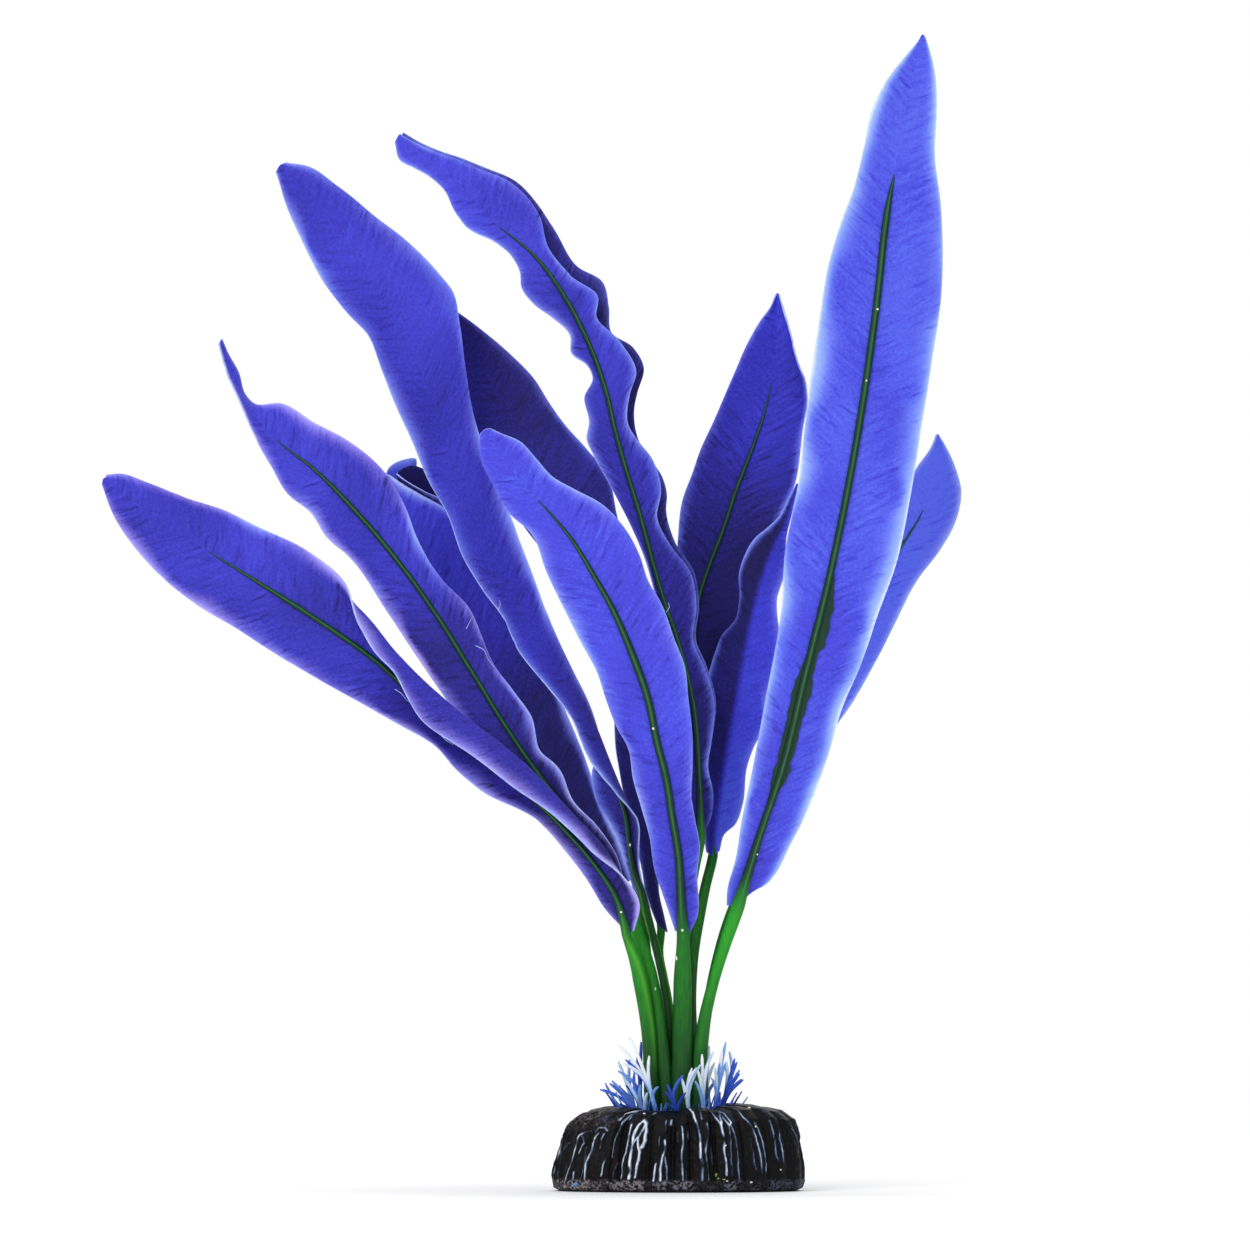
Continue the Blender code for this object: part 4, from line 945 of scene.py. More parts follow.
REAR_LEFT = Leaf(
    name="rear_left",
    dye=DyeAndPaintedLight(0.72, foot=0.14, left=1.5, right=1.5, pale=0.25),
    widths=(2.8, 2.4, 2.2, 1.2),
    guides=(
        ((-5.6, 9.2, 69.5), (-8, 10.2, 76), (-9.9, 11.5, 85.8), (-13.8, 13, 101.4),
         (-15.9, 14, 113.1), (-17.2, 15.5, 127.4), (-20.3, 17, 137.8), (-25.5, 18.5, 150.8),
         (-33.3, 20, 163.8), (-40.6, 21, 173.7), (-46.3, 22, 182), (-52.8, 23.5, 195),
         (-58, 25.6, 210.6), (-62.4, 27.1, 224.9), (-66.8, 27.9, 234.2)),
        ((-4.2, 9, 68), (-6, 11.6, 80.6), (-8.6, 14, 96.2), (-10.4, 16, 111.8),
         (-12.5, 18, 127.4), (-17.2, 20, 145.6), (-23.4, 22, 162.5), (-30.2, 23.5, 178),
         (-38, 25, 193.7), (-47, 26.5, 208), (-56.7, 27.5, 222.3), (-67, 28, 235.6)),
        ((-2.7, 9.4, 67), (-3.8, 10.6, 72), (-5.2, 12.4, 80), (-3.6, 14.5, 90), (-4.1, 17, 106.6),
         (-5.4, 19, 127.4), (-9.3, 21, 148.2), (-13.2, 22, 163.8), (-16, 22.5, 176.7),
         (-18.4, 23, 186.6), (-24.1, 23.5, 193.8), (-29.7, 24, 200.1), (-34, 24.5, 206.2),
         (-37.2, 25, 211.4), (-43.5, 25.5, 218.1), (-53, 26.5, 226.1), (-60.3, 27.5, 231.5),
         (-66, 28, 236.6)),
    ),
    stem=((-4, 3.8, FOOT_Z), (-3.2, 4.8, 30), (-2.5, 6.4, 44), (-3.6, 8, 54), (-4.9, 9.3, 62)),
    face=Face.BACK,
)

FRONT = Leaf(
    name="front",
    dye=DyeAndPaintedLight(0.25, foot=0.12, left=3.5, right=3.5, pale=0.45),
    widths=(5.8, 4.8, 3.3, 2.0),
    taper=50.0,
    shaded_tones=(0.2, 0.62),
    ridge_highlight=0.0,
    guides=(
        ((-0.8, -9, 67.6), (-3.9, -12, 76.7), (-5.9, -14, 82.4), (-7.6, -17.5, 92.6),
         (-9.6, -20, 99.6), (-11.7, -22, 106.9), (-13, -24, 114.9), (-16.1, -25.5, 120.6),
         (-18.7, -27.5, 127.4), (-21.2, -29.5, 134.9), (-24.9, -31, 141.7), (-29.1, -33, 150),
         (-34.1, -35.5, 160.4), (-38, -37.5, 170.3), (-43.4, -38.5, 175.2), (-47.8, -40.5, 182.8),
         (-51, -42.5, 189.3), (-51.2, -44.5, 195.8)),
        ((1.3, -9, 67.3), (0.8, -11.5, 75.9), (0, -15, 87.9), (-1.8, -18.5, 98.5),
         (-3.1, -21, 106.9), (-5.7, -24, 117.3), (-7.8, -26.5, 127.4), (-11.7, -29.5, 138.6),
         (-17.2, -32.5, 151.3), (-22.1, -34.5, 159.9), (-27, -36.5, 168), (-35.9, -39, 178.6),
         (-42.4, -41, 185.9), (-46.3, -43, 191.6), (-49.7, -45, 197)),
        ((3.1, -9, 67), (4.9, -11, 71), (4.9, -14.5, 82.4), (5.5, -17, 90), (4.4, -19, 96.2),
         (3.4, -20.5, 102.4), (3.6, -22.5, 109.2), (3.6, -25, 118.3), (2.6, -27, 127.4),
         (1.6, -29, 136.2), (-1, -31, 143), (-4.2, -33, 151.8), (-7.8, -34.5, 158.1),
         (-10.1, -36, 164.8), (-13, -37, 170.3), (-19.5, -38.5, 177.6), (-27, -39.5, 181.7),
         (-32.5, -40, 184.9), (-36.9, -41.5, 189.8), (-40.6, -43, 193.7), (-45.5, -44.5, 195.8),
         (-48.4, -45, 197.2)),
    ),
    stem=((1, -3.8, FOOT_Z), (1, -4.4, 30), (1.1, -5.6, 45), (1.2, -7.4, 57)),
    rib_end=0.84,
)

REAR_RIGHT = Leaf(
    name="rear_right",
    dye=DyeAndPaintedLight(0.5, foot=0.75, tip=-0.15, left=1.8, right=1.8, pale=0.4),
    widths=(2.8, 2.4, 2.2, 1.2),
    guides=(
        ((2.1, 13, 101), (1.3, 15.5, 111.8), (1, 18, 127.4), (0.5, 20, 143), (-0.3, 21.5, 156),
         (0, 22.5, 169.5), (1.2, 23.5, 179.8), (4.1, 24.2, 187.9), (5.9, 24.8, 193.2),
         (9.1, 25.6, 200.1), (12.8, 26.5, 208.5), (15.8, 27.6, 215.6), (18.8, 28.6, 222.4),
         (21.7, 29.6, 227.3), (24.2, 30.3, 230.6), (25.5, 30.8, 233.4)),
        ((2.6, 13, 100.6), (3.6, 16, 117), (4.2, 19, 132.6), (5.7, 22, 155),
         (8.1, 23.5, 162.5), (11.7, 25, 171.9), (15.1, 26.5, 182.3), (19.6, 28, 194),
         (22.4, 29, 202), (24.4, 30, 210), (25.8, 31, 221), (26.2, 31.5, 234.6)),
        ((3.1, 13.2, 100.8), (5.7, 16, 115.7), (8.3, 19, 130), (11.4, 21.5, 145.6),
         (16.1, 24, 161.2), (20.5, 26, 174.2), (24.4, 27.5, 187.2), (28.2, 28.5, 197.6),
         (30.6, 28.5, 205.4), (31, 28.4, 214.2), (29.2, 29.2, 223.6), (26.9, 31.2, 234.1)),
        ((3.6, 13.4, 101), (8.8, 16.5, 117), (13, 19, 132.6), (17.4, 21.5, 148.2),
         (22.6, 24, 163.8), (26.8, 26, 175.2), (30.7, 27.5, 184.1), (32.8, 27.5, 198.6),
         (34, 26, 206.9), (33.4, 25, 211.4), (32, 24.6, 215), (30.1, 25, 221),
         (28.2, 27.4, 228.6), (27.2, 30.2, 233.4)),
    ),
    across=(0.0, 0.5, 0.75, 1.0),
    stem=((3.5, 3.8, FOOT_Z), (3.1, 5.4, 30), (3.1, 7.4, 45), (3.1, 9, 58), (2.9, 10.6, 75),
          (2.6, 11.8, 92)),
    rib_end=0.83,
)

TALL = Leaf(
    name="tall",
    dye=DyeAndPaintedLight(0.14, foot=0.14, left=4.5, right=5.5, pale=0.85, blush=0.02),
    widths=(4.4, 2.9, 3.6, 1.9),
    taper=12.0,
    shaded_tones=(0.3, 1.0),
    guides=(
        ((12.6, -6, 74.1), (12.8, -7, 78), (14.9, -9, 85.8), (16.5, -11, 96.2), (19.2, -13, 109.2),
         (22.6, -16, 127.4), (26.5, -19, 149.2), (27.8, -21, 166.7), (30.7, -22, 181.2),
         (32.8, -23, 198.6), (35, -23.5, 216.1), (36.8, -23.5, 227.5), (38.5, -23.5, 238.2),
         (41.9, -23, 250.4), (45.8, -22.5, 261), (48.1, -22, 270.4), (49.9, -21.5, 279.5),
         (53.8, -20.5, 287.8), (58.8, -19.6, 294.3), (62.6, -19, 298.8)),
        ((15.6, -6, 74.6), (20.3, -9, 90), (26.8, -12.5, 109.5), (32.5, -16, 132.6),
         (39.5, -19.5, 161), (45.8, -22, 192.7), (51, -22.5, 227.5), (54.6, -21.5, 257),
         (56.2, -21, 265), (58.5, -20.5, 278.2), (61.1, -19.5, 290), (63.4, -19, 300)),
        ((19.3, -6, 78), (23, -6, 79.8), (25.3, -6.3, 82.5), (29.2, -7.5, 90), (34, -9, 99.6),
         (39, -10.5, 113.3), (42.2, -12.5, 124.5), (47.4, -15, 136.8), (51.8, -17, 149.7),
         (56.4, -18.5, 162.5), (60.3, -20, 181.2), (62.9, -20.5, 197.3), (65.4, -21, 213.2),
         (68.3, -21, 234.5), (68, -20.5, 255.8), (66.5, -20.5, 269.4), (67, -20, 279.2),
         (66.6, -19.5, 289.9), (65.1, -19.2, 296.3), (64.2, -19, 299)),
    ),
    stem=((5.4, -3.8, FOOT_Z), (5.5, -3.9, 30), (6.6, -4.6, 43), (8.6, -5.4, 52), (12.2, -6.6, 64)),
    rib_end=0.84,
)

FAR_RIGHT = Leaf(
    name="far_right",
    dye=DyeAndPaintedLight(0.0, foot=0.1, left=2.5, right=4.5, pale=0.6),
    widths=(3.0, 2.6, 2.4, 1.3),
    guides=(
        ((17.4, 5, 83.7), (22.6, 7, 98.8), (29.1, 9, 114.4), (36.9, 11, 130), (44.7, 12.5, 145.6),
         (49.9, 14, 158.6), (55.1, 15.5, 171.6), (59, 17, 182), (62.7, 18, 188.8),
         (66, 19, 193.4), (67.9, 19.5, 197.1)),
        ((18.2, 5, 83.2), (25.2, 8, 98.8), (32.5, 10.5, 114.4), (41.6, 13, 132.6),
         (49.9, 15.5, 150.8), (57.5, 17.5, 166.7), (60.3, 18, 170.8), (63.4, 18.5, 175.8),
         (66.6, 19, 185.9), (68.1, 20, 197.3)),
        ((19.2, 5.5, 83.7), (27, 8, 93.6), (33, 10.5, 106.6), (40.5, 12.5, 119.6),
         (46.3, 14.5, 128), (52.5, 16, 139.3), (57, 17, 148.2), (62.7, 18, 159.1),
         (68.8, 19, 167.2), (73, 19, 175.2), (74.2, 19, 182), (72.4, 19, 189.3),
         (70, 19.5, 194.4), (68.4, 20, 197.1)),
    ),
    stem=((7, 3.8, FOOT_Z), (6.4, 3.6, 36), (8.5, 3.4, 52), (12.4, 3.4, 68)),
    rib_end=0.84,
)

SHORT_RIGHT = Leaf(
    name="short_right",
    dye=DyeAndPaintedLight(0.24, foot=-0.12, tip=0.3, split=0.55, left=1.2, right=2.8, pale=0.42),
    widths=(3.4, 2.8, 2.6, 1.3),
    shaded_tones=(0.15, 0.6),
    guides=(
        ((7.4, 6.5, 88), (6, 9, 96), (5.2, 11, 106), (5, 11.5, 114.4), (6.5, 12.5, 127.4),
         (9.9, 13, 140.4), (11.4, 13, 144.3), (15.1, 13, 148.7), (16.1, 13.5, 153.4),
         (16.1, 14, 161.2), (17.7, 14.5, 165.9), (20, 15, 169.8), (23.7, 15, 172.9),
         (26.5, 15.5, 175.5), (28.9, 16, 180.2), (30.9, 16.5, 184.1)),
        ((9.1, 6.5, 87), (10.4, 8, 98.5), (12.7, 9, 113.6), (15.1, 10, 127.4), (17.4, 11, 140.4),
         (20, 12, 153.4), (23.1, 13.5, 163.8), (27.6, 15, 174.2), (31.2, 16.5, 184.3)),
        ((10.9, 6.5, 88.4), (12, 7.2, 92.4), (15, 8, 95.2), (16.9, 9, 100.4), (18, 10, 110.2),
         (19.6, 11, 114.9), (22.9, 12, 121.4), (23.1, 12.5, 128.7), (25, 13, 133.1),
         (26.5, 13.5, 141.7), (26, 14.5, 154.7), (27.6, 15, 159.9), (28.6, 15.5, 171.6),
         (29.9, 16, 176.8), (31.5, 16.5, 183.8)),
    ),
    stem=((4.5, 0, FOOT_Z), (3.8, 0.8, 35), (3.3, 2, 50), (4.1, 3.4, 62), (5.6, 4.8, 71),
          (7.2, 6, 79)),
    face=Face.BACK,
)

LEAVES = (FAR_LEFT, LEFT, ROLLED, NESTED, TURNED, WAVY_FRONT, WAVY_BACK, REAR_LEFT, FRONT,
          REAR_RIGHT, TALL, FAR_RIGHT, SHORT_RIGHT)
# Places across a blade on and close beside its rib, from which the rib's slope is read
BY_RIB = np.array([0.49, 0.5, 0.51])


class Surface:
    """The middle surface of a leaf's blade, read along and across."""

    def __init__(self, leaf: Leaf) -> None:
        """Take the guides of a leaf.

        Args:
            leaf: the leaf.
        """
        self.leaf = leaf
        self.guides = [Path(guide) for guide in leaf.guides]
        self.length = self.guides[leaf.across.index(0.5)].length

    def at(self, along: np.ndarray, across: np.ndarray) -> np.ndarray:
        """Points of the surface.

        Args:
            along: places from base to tip, 0 to 1.
            across: places from the first guide to the last, 0 to 1.

        Returns:
            Rows by columns of points.
        """
        points = np.array([guide.at(along) for guide in self.guides])
        lies = np.array(self.leaf.across)
        order = np.arange(len(lies))
        before, after = np.maximum(order - 1, 0), np.minimum(order + 1, len(lies) - 1)
        slopes = (points[after] - points[before]) / (lies[after] - lies[before])[:, None, None]
        i = np.clip(np.searchsorted(lies, across) - 1, 0, len(lies) - 2)
        ends = (values.swapaxes(0, 1)
                for values in (points[i], points[i + 1], slopes[i], slopes[i + 1]))
        return hermite(*ends, lies[i + 1] - lies[i], across - lies[i])

    @staticmethod
    def normals(points: np.ndarray) -> np.ndarray:
        """Unit normals of a grid, on the face that looks forward where it runs left to right."""
        normal = np.cross(np.gradient(points, axis=1), np.gradient(points, axis=0))
        return normal / np.maximum(np.linalg.norm(normal, axis=2, keepdims=True), 1e-9)

    def rib(self, step: float) -> tuple[np.ndarray, np.ndarray]:
        """Points of the blade's middle line as far as the rib reaches.

        Args:
            step: distance between the points.

        Returns:
            The points, and the unit normals of the face that carries the rib.
        """
        count = max(8, round(self.length * self.leaf.rib_end / step))
        grid = self.at(np.linspace(0, self.leaf.rib_end, count), BY_RIB)
        return grid[:, 1], self.normals(grid)[:, 1] * self.leaf.face.value


@dataclass
class ClothBlade:
    """A blade of dip dyed cloth: two faces and a cut edge.

    leaf: whose blade it is
    order: the leaf's place in the plant, which seeds its creases
    columns: faces across
    row: distance between rows
    thickness: the cloth's thickness
    buckle: how far the cloth bulges out of its smooth form
    buckle_pitch: size of the bulges across and along the blade
    ripple: how far its margins wave
    ripple_pitch: distance along a margin over which it waves
    ripple_depth: how far in from the margin the waves reach
    creases: number of pressed creases
    cloud_pitch: size of the clouds in the dye across and along the blade
    """

    leaf: Leaf
    order: int
    columns: int = 48
    row: float = 0.8
    thickness: float = 0.4
    buckle: float = 0.3
    buckle_pitch: Point = (9.0, 15.0, 1.0)
    ripple: float = 0.35
    ripple_pitch: float = 8.0
    ripple_depth: float = 4.0
    creases: int = 7
    cloud_pitch: Point = (14.0, 22.0, 1.0)

    def build(self, upper: bpy.types.Material, under: bpy.types.Material,
              edge: bpy.types.Material) -> bpy.types.Object:
        """Build the blade and dress its faces.

        Args:
            upper: finish of the face with the midrib.
            under: finish of the other face.
            edge: finish of the cut edge.

        Returns:
            The blade.
        """
        surface = Surface(self.leaf)
        along = np.linspace(0, 1, round(surface.length / self.row) + 1)
        points = surface.at(along, np.linspace(0, 1, self.columns + 1))
        normals = surface.normals(points)
        steps = np.linalg.norm(np.diff(points, axis=1), axis=2)
        reach = np.hstack((np.zeros((len(along), 1)), np.cumsum(steps, axis=1)))
        self.width = float(reach[:, -1].max())
        self.length = surface.length
        rows = np.linalg.norm(np.diff(points, axis=0), axis=2)
        self.area = float((steps[:-1] * (rows[:, :-1] + rows[:, 1:]) / 2).sum())
        across = reach - reach[:, [self.columns // 2]]
        places = np.stack((across, np.repeat(along[:, None] * surface.length, self.columns + 1, 1),
                           np.full(across.shape, self.order * 37.0)), axis=2)
        points = points + normals * self.relief(places, reach)[..., None]

        normals = surface.normals(points)
        sides = [points + normals * self.thickness / 2 * side for side in (1, -1)]
        index = np.arange(across.size).reshape(across.shape)
        sheet = quads(index)
        loop = np.concatenate((index[0, :-1], index[:-1, -1], index[-1, :0:-1], index[:0:-1, 0]))
        after = np.roll(loop, -1)
        rim = np.stack((loop, loop + index.size, after + index.size, after), -1)
        faces = np.vstack((sheet, sheet[:, ::-1] + index.size, rim))
        mesh = bpy.data.meshes.new(f"cloth_{self.leaf.name}")
        mesh.from_pydata((np.concatenate(sides).reshape(-1, 3) * MM).tolist(), [], faces.tolist())
        mesh.shade_smooth()
        mesh.set_sharp_from_angle(angle=math.radians(55))
        store(mesh, "cloth", np.tile(places.reshape(-1, 3) * MM * (1, 1, 0), (2, 1)))
        store(mesh, "dye", np.tile(self.dye(along, places, reach).reshape(-1, 3), (2, 1)))
        front = self.leaf.face is Face.FRONT
        piece = link(mesh.name, mesh, *((upper, under) if front else (under, upper)), edge)
        mesh.polygons.foreach_set("material_index", np.repeat(
            (0, 1, 2), (len(sheet), len(sheet), len(rim))).astype(np.int32))
        return piece

    def relief(self, places: np.ndarray, reach: np.ndarray) -> np.ndarray:
        """How far the cloth stands out of its smooth form.

        Args:
            places: across, along and the leaf's own number, in millimetres.
            reach: distance of each point from the first margin, along the cloth.

        Returns:
            Distance along the normal for each point.
        """
        across, along = places[..., 0], places[..., 1]
        rough = noise_at(*np.moveaxis(places / self.buckle_pitch, -1, 0))
        wave = noise_at(np.array(((1.5,), (7.5,))), along[:, 0] / self.ripple_pitch,
                        self.order * 5.1)[..., None]
        margin = np.minimum(reach, reach[:, -1:] - reach)
        result = self.buckle * rough * ease(np.abs(across), 1.0, 7.0)
        wave = np.where(across < 0, wave[0], wave[1])
        result += self.ripple * wave * np.exp(-(margin / self.ripple_depth) ** 2)
        dice = np.random.default_rng(self.order + 11)
        for _ in range(self.creases):
            side = dice.choice((-1, 1))
            half = float(np.abs(across[across.shape[0] // 2, 0 if side < 0 else -1]))
            middle = (side * half * dice.uniform(0.25, 0.85), self.length * dice.uniform(0.1, 0.9))
            lean = math.radians(dice.uniform(30, 65))
            way = np.array((side * math.sin(lean), math.cos(lean)))
            offset = np.stack((across - middle[0], along - middle[1]), -1)
            down = offset @ way
            off = offset @ np.array((way[1], -way[0]))
            size = dice.uniform(3.0, 7.0)
            result += (dice.choice((-1, 1)) * dice.uniform(0.12, 0.3)
                       * np.exp(-(off / 0.7) ** 2) * np.exp(-(down / size) ** 4))
        return result

    def dye(self, along: np.ndarray, places: np.ndarray, reach: np.ndarray) -> np.ndarray:
        """How the dye lies, with painted light and shade in it.

        Args:
            along: the rows' places from base to tip, 0 to 1.
            places: across, along and the leaf's own number, in millimetres.
            reach: distance of each point from the first margin, along the cloth.

        Returns:
            Depth with painted shade, paleness of the margins with painted glow, and blush for each
            point.
        """
        dye = self.leaf.dye
        line = places[:, 0, 1]
        # Pale margins, from the dye's run-out and from a painted glow of light through the thin
        # cloth, brightest in a thin line at the very edge
        pale_and_glow = np.zeros(reach.shape)
        for row, (width, off) in enumerate(((dye.left, reach), (dye.right, reach[:, -1:] - reach))):
            wide = width * (1 + 0.45 * wander(line, 11.0, self.order + row * 31))
            wide = np.clip(wide, 0.3, 0.18 * reach[:, -1] + 0.3)
            strong = 1 + 0.35 * wander(line, 17.0, self.order + 3 + row * 17)
            side = 0.45 * np.exp(-off / 0.6) + 0.6 * np.exp(-(off / wide[:, None]) ** 2)
            pale_and_glow = np.maximum(pale_and_glow, side * strong[:, None] * dye.pale)
        cloud = noise_at(*np.moveaxis(places / self.cloud_pitch, -1, 0))
        # Painted light and shade: deeper towards the foot and over the shaded half, and changed at
        # the tip by the leaf's own amount
        depth = (dye.depth + dye.foot * (1 - along) ** 1.6 + dye.tip * along ** 2)[:, None]
        depth = depth + 0.12 * cloud + dye.split * (1 - ease(places[..., 0], -1.2, 1.2))
        blush = np.full(reach.shape, dye.blush) * (1 + cloud)
        return np.stack((np.clip(depth, 0, 1), np.clip(pale_and_glow, 0, 1), np.clip(blush, 0, 1)), -1)


# What follows a path


# How sharply the ridge along a profile's front and back runs out to its sides
RIDGE_POWER = 18.0


class SweepTree:
    """Geometry Nodes that draw an oval profile along every line of a mesh.

    The lines carry the attributes breadth, facing and plastic. The result also carries ridge, which
    is 1 along the front and the back of the profile.
    """

    def __init__(self) -> None:
        """Build the tree."""
        tree, given, keys = new_tree("moulded_sweep", {"Lines": "Geometry", "Sides": "Int",
                                                       "Flatness": "Float", "Finish": "Material"})
        self.tree, self.keys = tree, keys
        curve = add(tree, "GeometryNodeMeshToCurve", {"Mesh": given["Lines"]})
        facing = add(tree, "GeometryNodeInputNamedAttribute", {"Name": "facing"},
                     data_type="FLOAT_VECTOR")
        curve = add(tree, "GeometryNodeSetCurveNormal", {"Curve": curve, "Normal": facing},
                    mode="FREE")
        circle = add(tree, "GeometryNodeCurvePrimitiveCircle",
                     {"Resolution": given["Sides"], "Radius": 1.0})
        place = add(tree, "GeometryNodeInputPosition")
        front = add(tree, "ShaderNodeSeparateXYZ", {0: place}).outputs[0]
        front = add(tree, "ShaderNodeMath", {0: front}, operation="ABSOLUTE")
        front = add(tree, "ShaderNodeMath", {0: front, 1: RIDGE_POWER}, operation="POWER")
        oval = add(tree, "GeometryNodeStoreNamedAttribute",
                   {"Geometry": circle, "Name": "ridge", "Value": front})
        squash = add(tree, "ShaderNodeCombineXYZ", {0: given["Flatness"], 1: 1.0, 2: 1.0})
        place = add(tree, "ShaderNodeVectorMath", {0: place, 1: squash}, operation="MULTIPLY")
        oval = add(tree, "GeometryNodeSetPosition", {"Geometry": oval, "Position": place})
        radius = add(tree, "GeometryNodeInputNamedAttribute", {"Name": "breadth"},
                     data_type="FLOAT")
        body = add(tree, "GeometryNodeCurveToMesh",
                   {"Curve": curve, "Profile Curve": oval, "Scale": radius, "Fill Caps": True})
        body = add(tree, "GeometryNodeSetShadeSmooth", {"Geometry": body})
        body = add(tree, "GeometryNodeRealizeInstances", {"Geometry": body})
        body = add(tree, "GeometryNodeSetMaterial", {"Geometry": body, "Material": given["Finish"]})
        add(tree, "NodeGroupOutput", {"Geometry": body})

    def draw(self, name: str, lines: list["Line"], finish: bpy.types.Material, sides: int = 10,
             flatness: float = 0.7) -> bpy.types.Object:
        """Draw the profile along lines.

        Args:
            name: the piece's name.
            lines: the lines.
            finish: the piece's finish.
            sides: sides of the profile.
            flatness: its depth as a share of its width.

        Returns:
            The piece, as a plain mesh.
        """
        mesh = bpy.data.meshes.new(name)
        ends = np.cumsum([0] + [len(line.points) for line in lines])
        edges = [(i, i + 1) for low, high in zip(ends, ends[1:]) for i in range(low, high - 1)]
        mesh.from_pydata((np.concatenate([line.points for line in lines]) * MM).tolist(), edges, [])
        store(mesh, "breadth", np.concatenate([line.radius for line in lines]) * MM)
        store(mesh, "facing", np.concatenate([line.facing for line in lines]))
        store(mesh, "plastic", np.concatenate([line.plastic for line in lines]))
        piece = run(link(name, mesh), self.tree, self.keys,
                    {"Sides": sides, "Flatness": flatness, "Finish": finish})
        for spare in ("breadth", "facing"):
            piece.data.attributes.remove(piece.data.attributes[spare])
        return piece


@dataclass
class Line:
    """A line for the sweep, with a value or a vector for each of its points.

    points: the points, in millimetres
    radius: half widths
    facing: the way the profile's front looks
    plastic: tone, share of the rib's colour, and how yellow the ridge is
    """

    points: np.ndarray
    radius: np.ndarray
    facing: np.ndarray
    plastic: np.ndarray


@dataclass
class MouldedStem:
    """A green stem that runs on up its blade as the midrib.

    leaf: whose stem it is
    step: distance between the profile's places
    waist: how far up the stem its waist is, 0 to 1
    run_in: length over which the stem narrows to the rib
    flatness: depth of the profile as a share of its width
    sink: how much of the rib's half depth stands off the cloth's middle
    """

    leaf: Leaf
    step: float = 1.6
    waist: float = 0.72
    run_in: float = 9.0
    flatness: float = 0.72
    sink: float = 0.55

    def line(self) -> Line:
        """Work out the stem's line.

        Returns:
            The line from the foot to the end of the rib.
        """
        rib, normals = Surface(self.leaf).rib(self.step)
        foot, waist, base, crest = (width / 2 for width in self.leaf.widths)
        share = np.linspace(0, 1, len(rib))
        rib_length = Path(rib[::4]).length
        rib_radius = crest + (base - crest) * np.exp(-share * rib_length / self.run_in)
        rib_radius *= 0.12 + 0.88 * np.minimum((1 - share) * rib_length / self.leaf.taper, 1) ** 0.7
        lift = 0.2 + rib_radius * self.flatness * self.sink + self.leaf.rib_lift
        rib = rib + normals * lift[:, None]
        path = Path([*self.leaf.stem, rib[0], rib[4]])
        part = 1 - float(np.linalg.norm(rib[4] - rib[0])) / path.length
        count = round(path.length / self.step)
        up = np.linspace(0, 1, count, endpoint=False)
        stem = path.at(up * part)
        stem_radius = np.where(up < self.waist, foot + (waist - foot) * ease(up, 0, self.waist),
                               waist + (base - waist) * ease(up, self.waist, 1))
        turn = math.radians(self.leaf.turn)
        straight = (math.sin(turn), -math.cos(turn), 0.0)
        normals *= np.sign(normals[0] @ straight)
        facing = np.outer(1 - up ** 5, straight) + np.outer(up ** 5, normals[0])
        # Painted shade: the green darkens towards the foot. Painted highlight: the ridge turns
        # yellow from low on the stem up and along the rib
        low, high = self.leaf.shaded_tones
        tone = np.concatenate((low + (high - low) * ease(up, 0.1, 0.95), np.full(len(rib), high)))
        rib_share = np.concatenate((ease(up, 0.9, 1.15), ease(share * rib_length, -6.0, 10.0)))
        ridge_highlight = np.concatenate((ease(up, 0.2, 0.65), np.ones(len(rib)))) * self.leaf.ridge_highlight
        return Line(np.vstack((stem, rib)), np.concatenate((stem_radius, rib_radius)),
                    np.vstack((facing, normals)), np.stack((tone, rib_share, ridge_highlight), -1))

    def build(self, sweep: SweepTree, finish: bpy.types.Material) -> bpy.types.Object:
        """Build the stem.

        Args:
            sweep: the nodes that draw along a line.
            finish: its finish.

        Returns:
            The stem.
        """
        return sweep.draw(f"moulding_{self.leaf.name}", [self.line()], finish, 12, self.flatness)


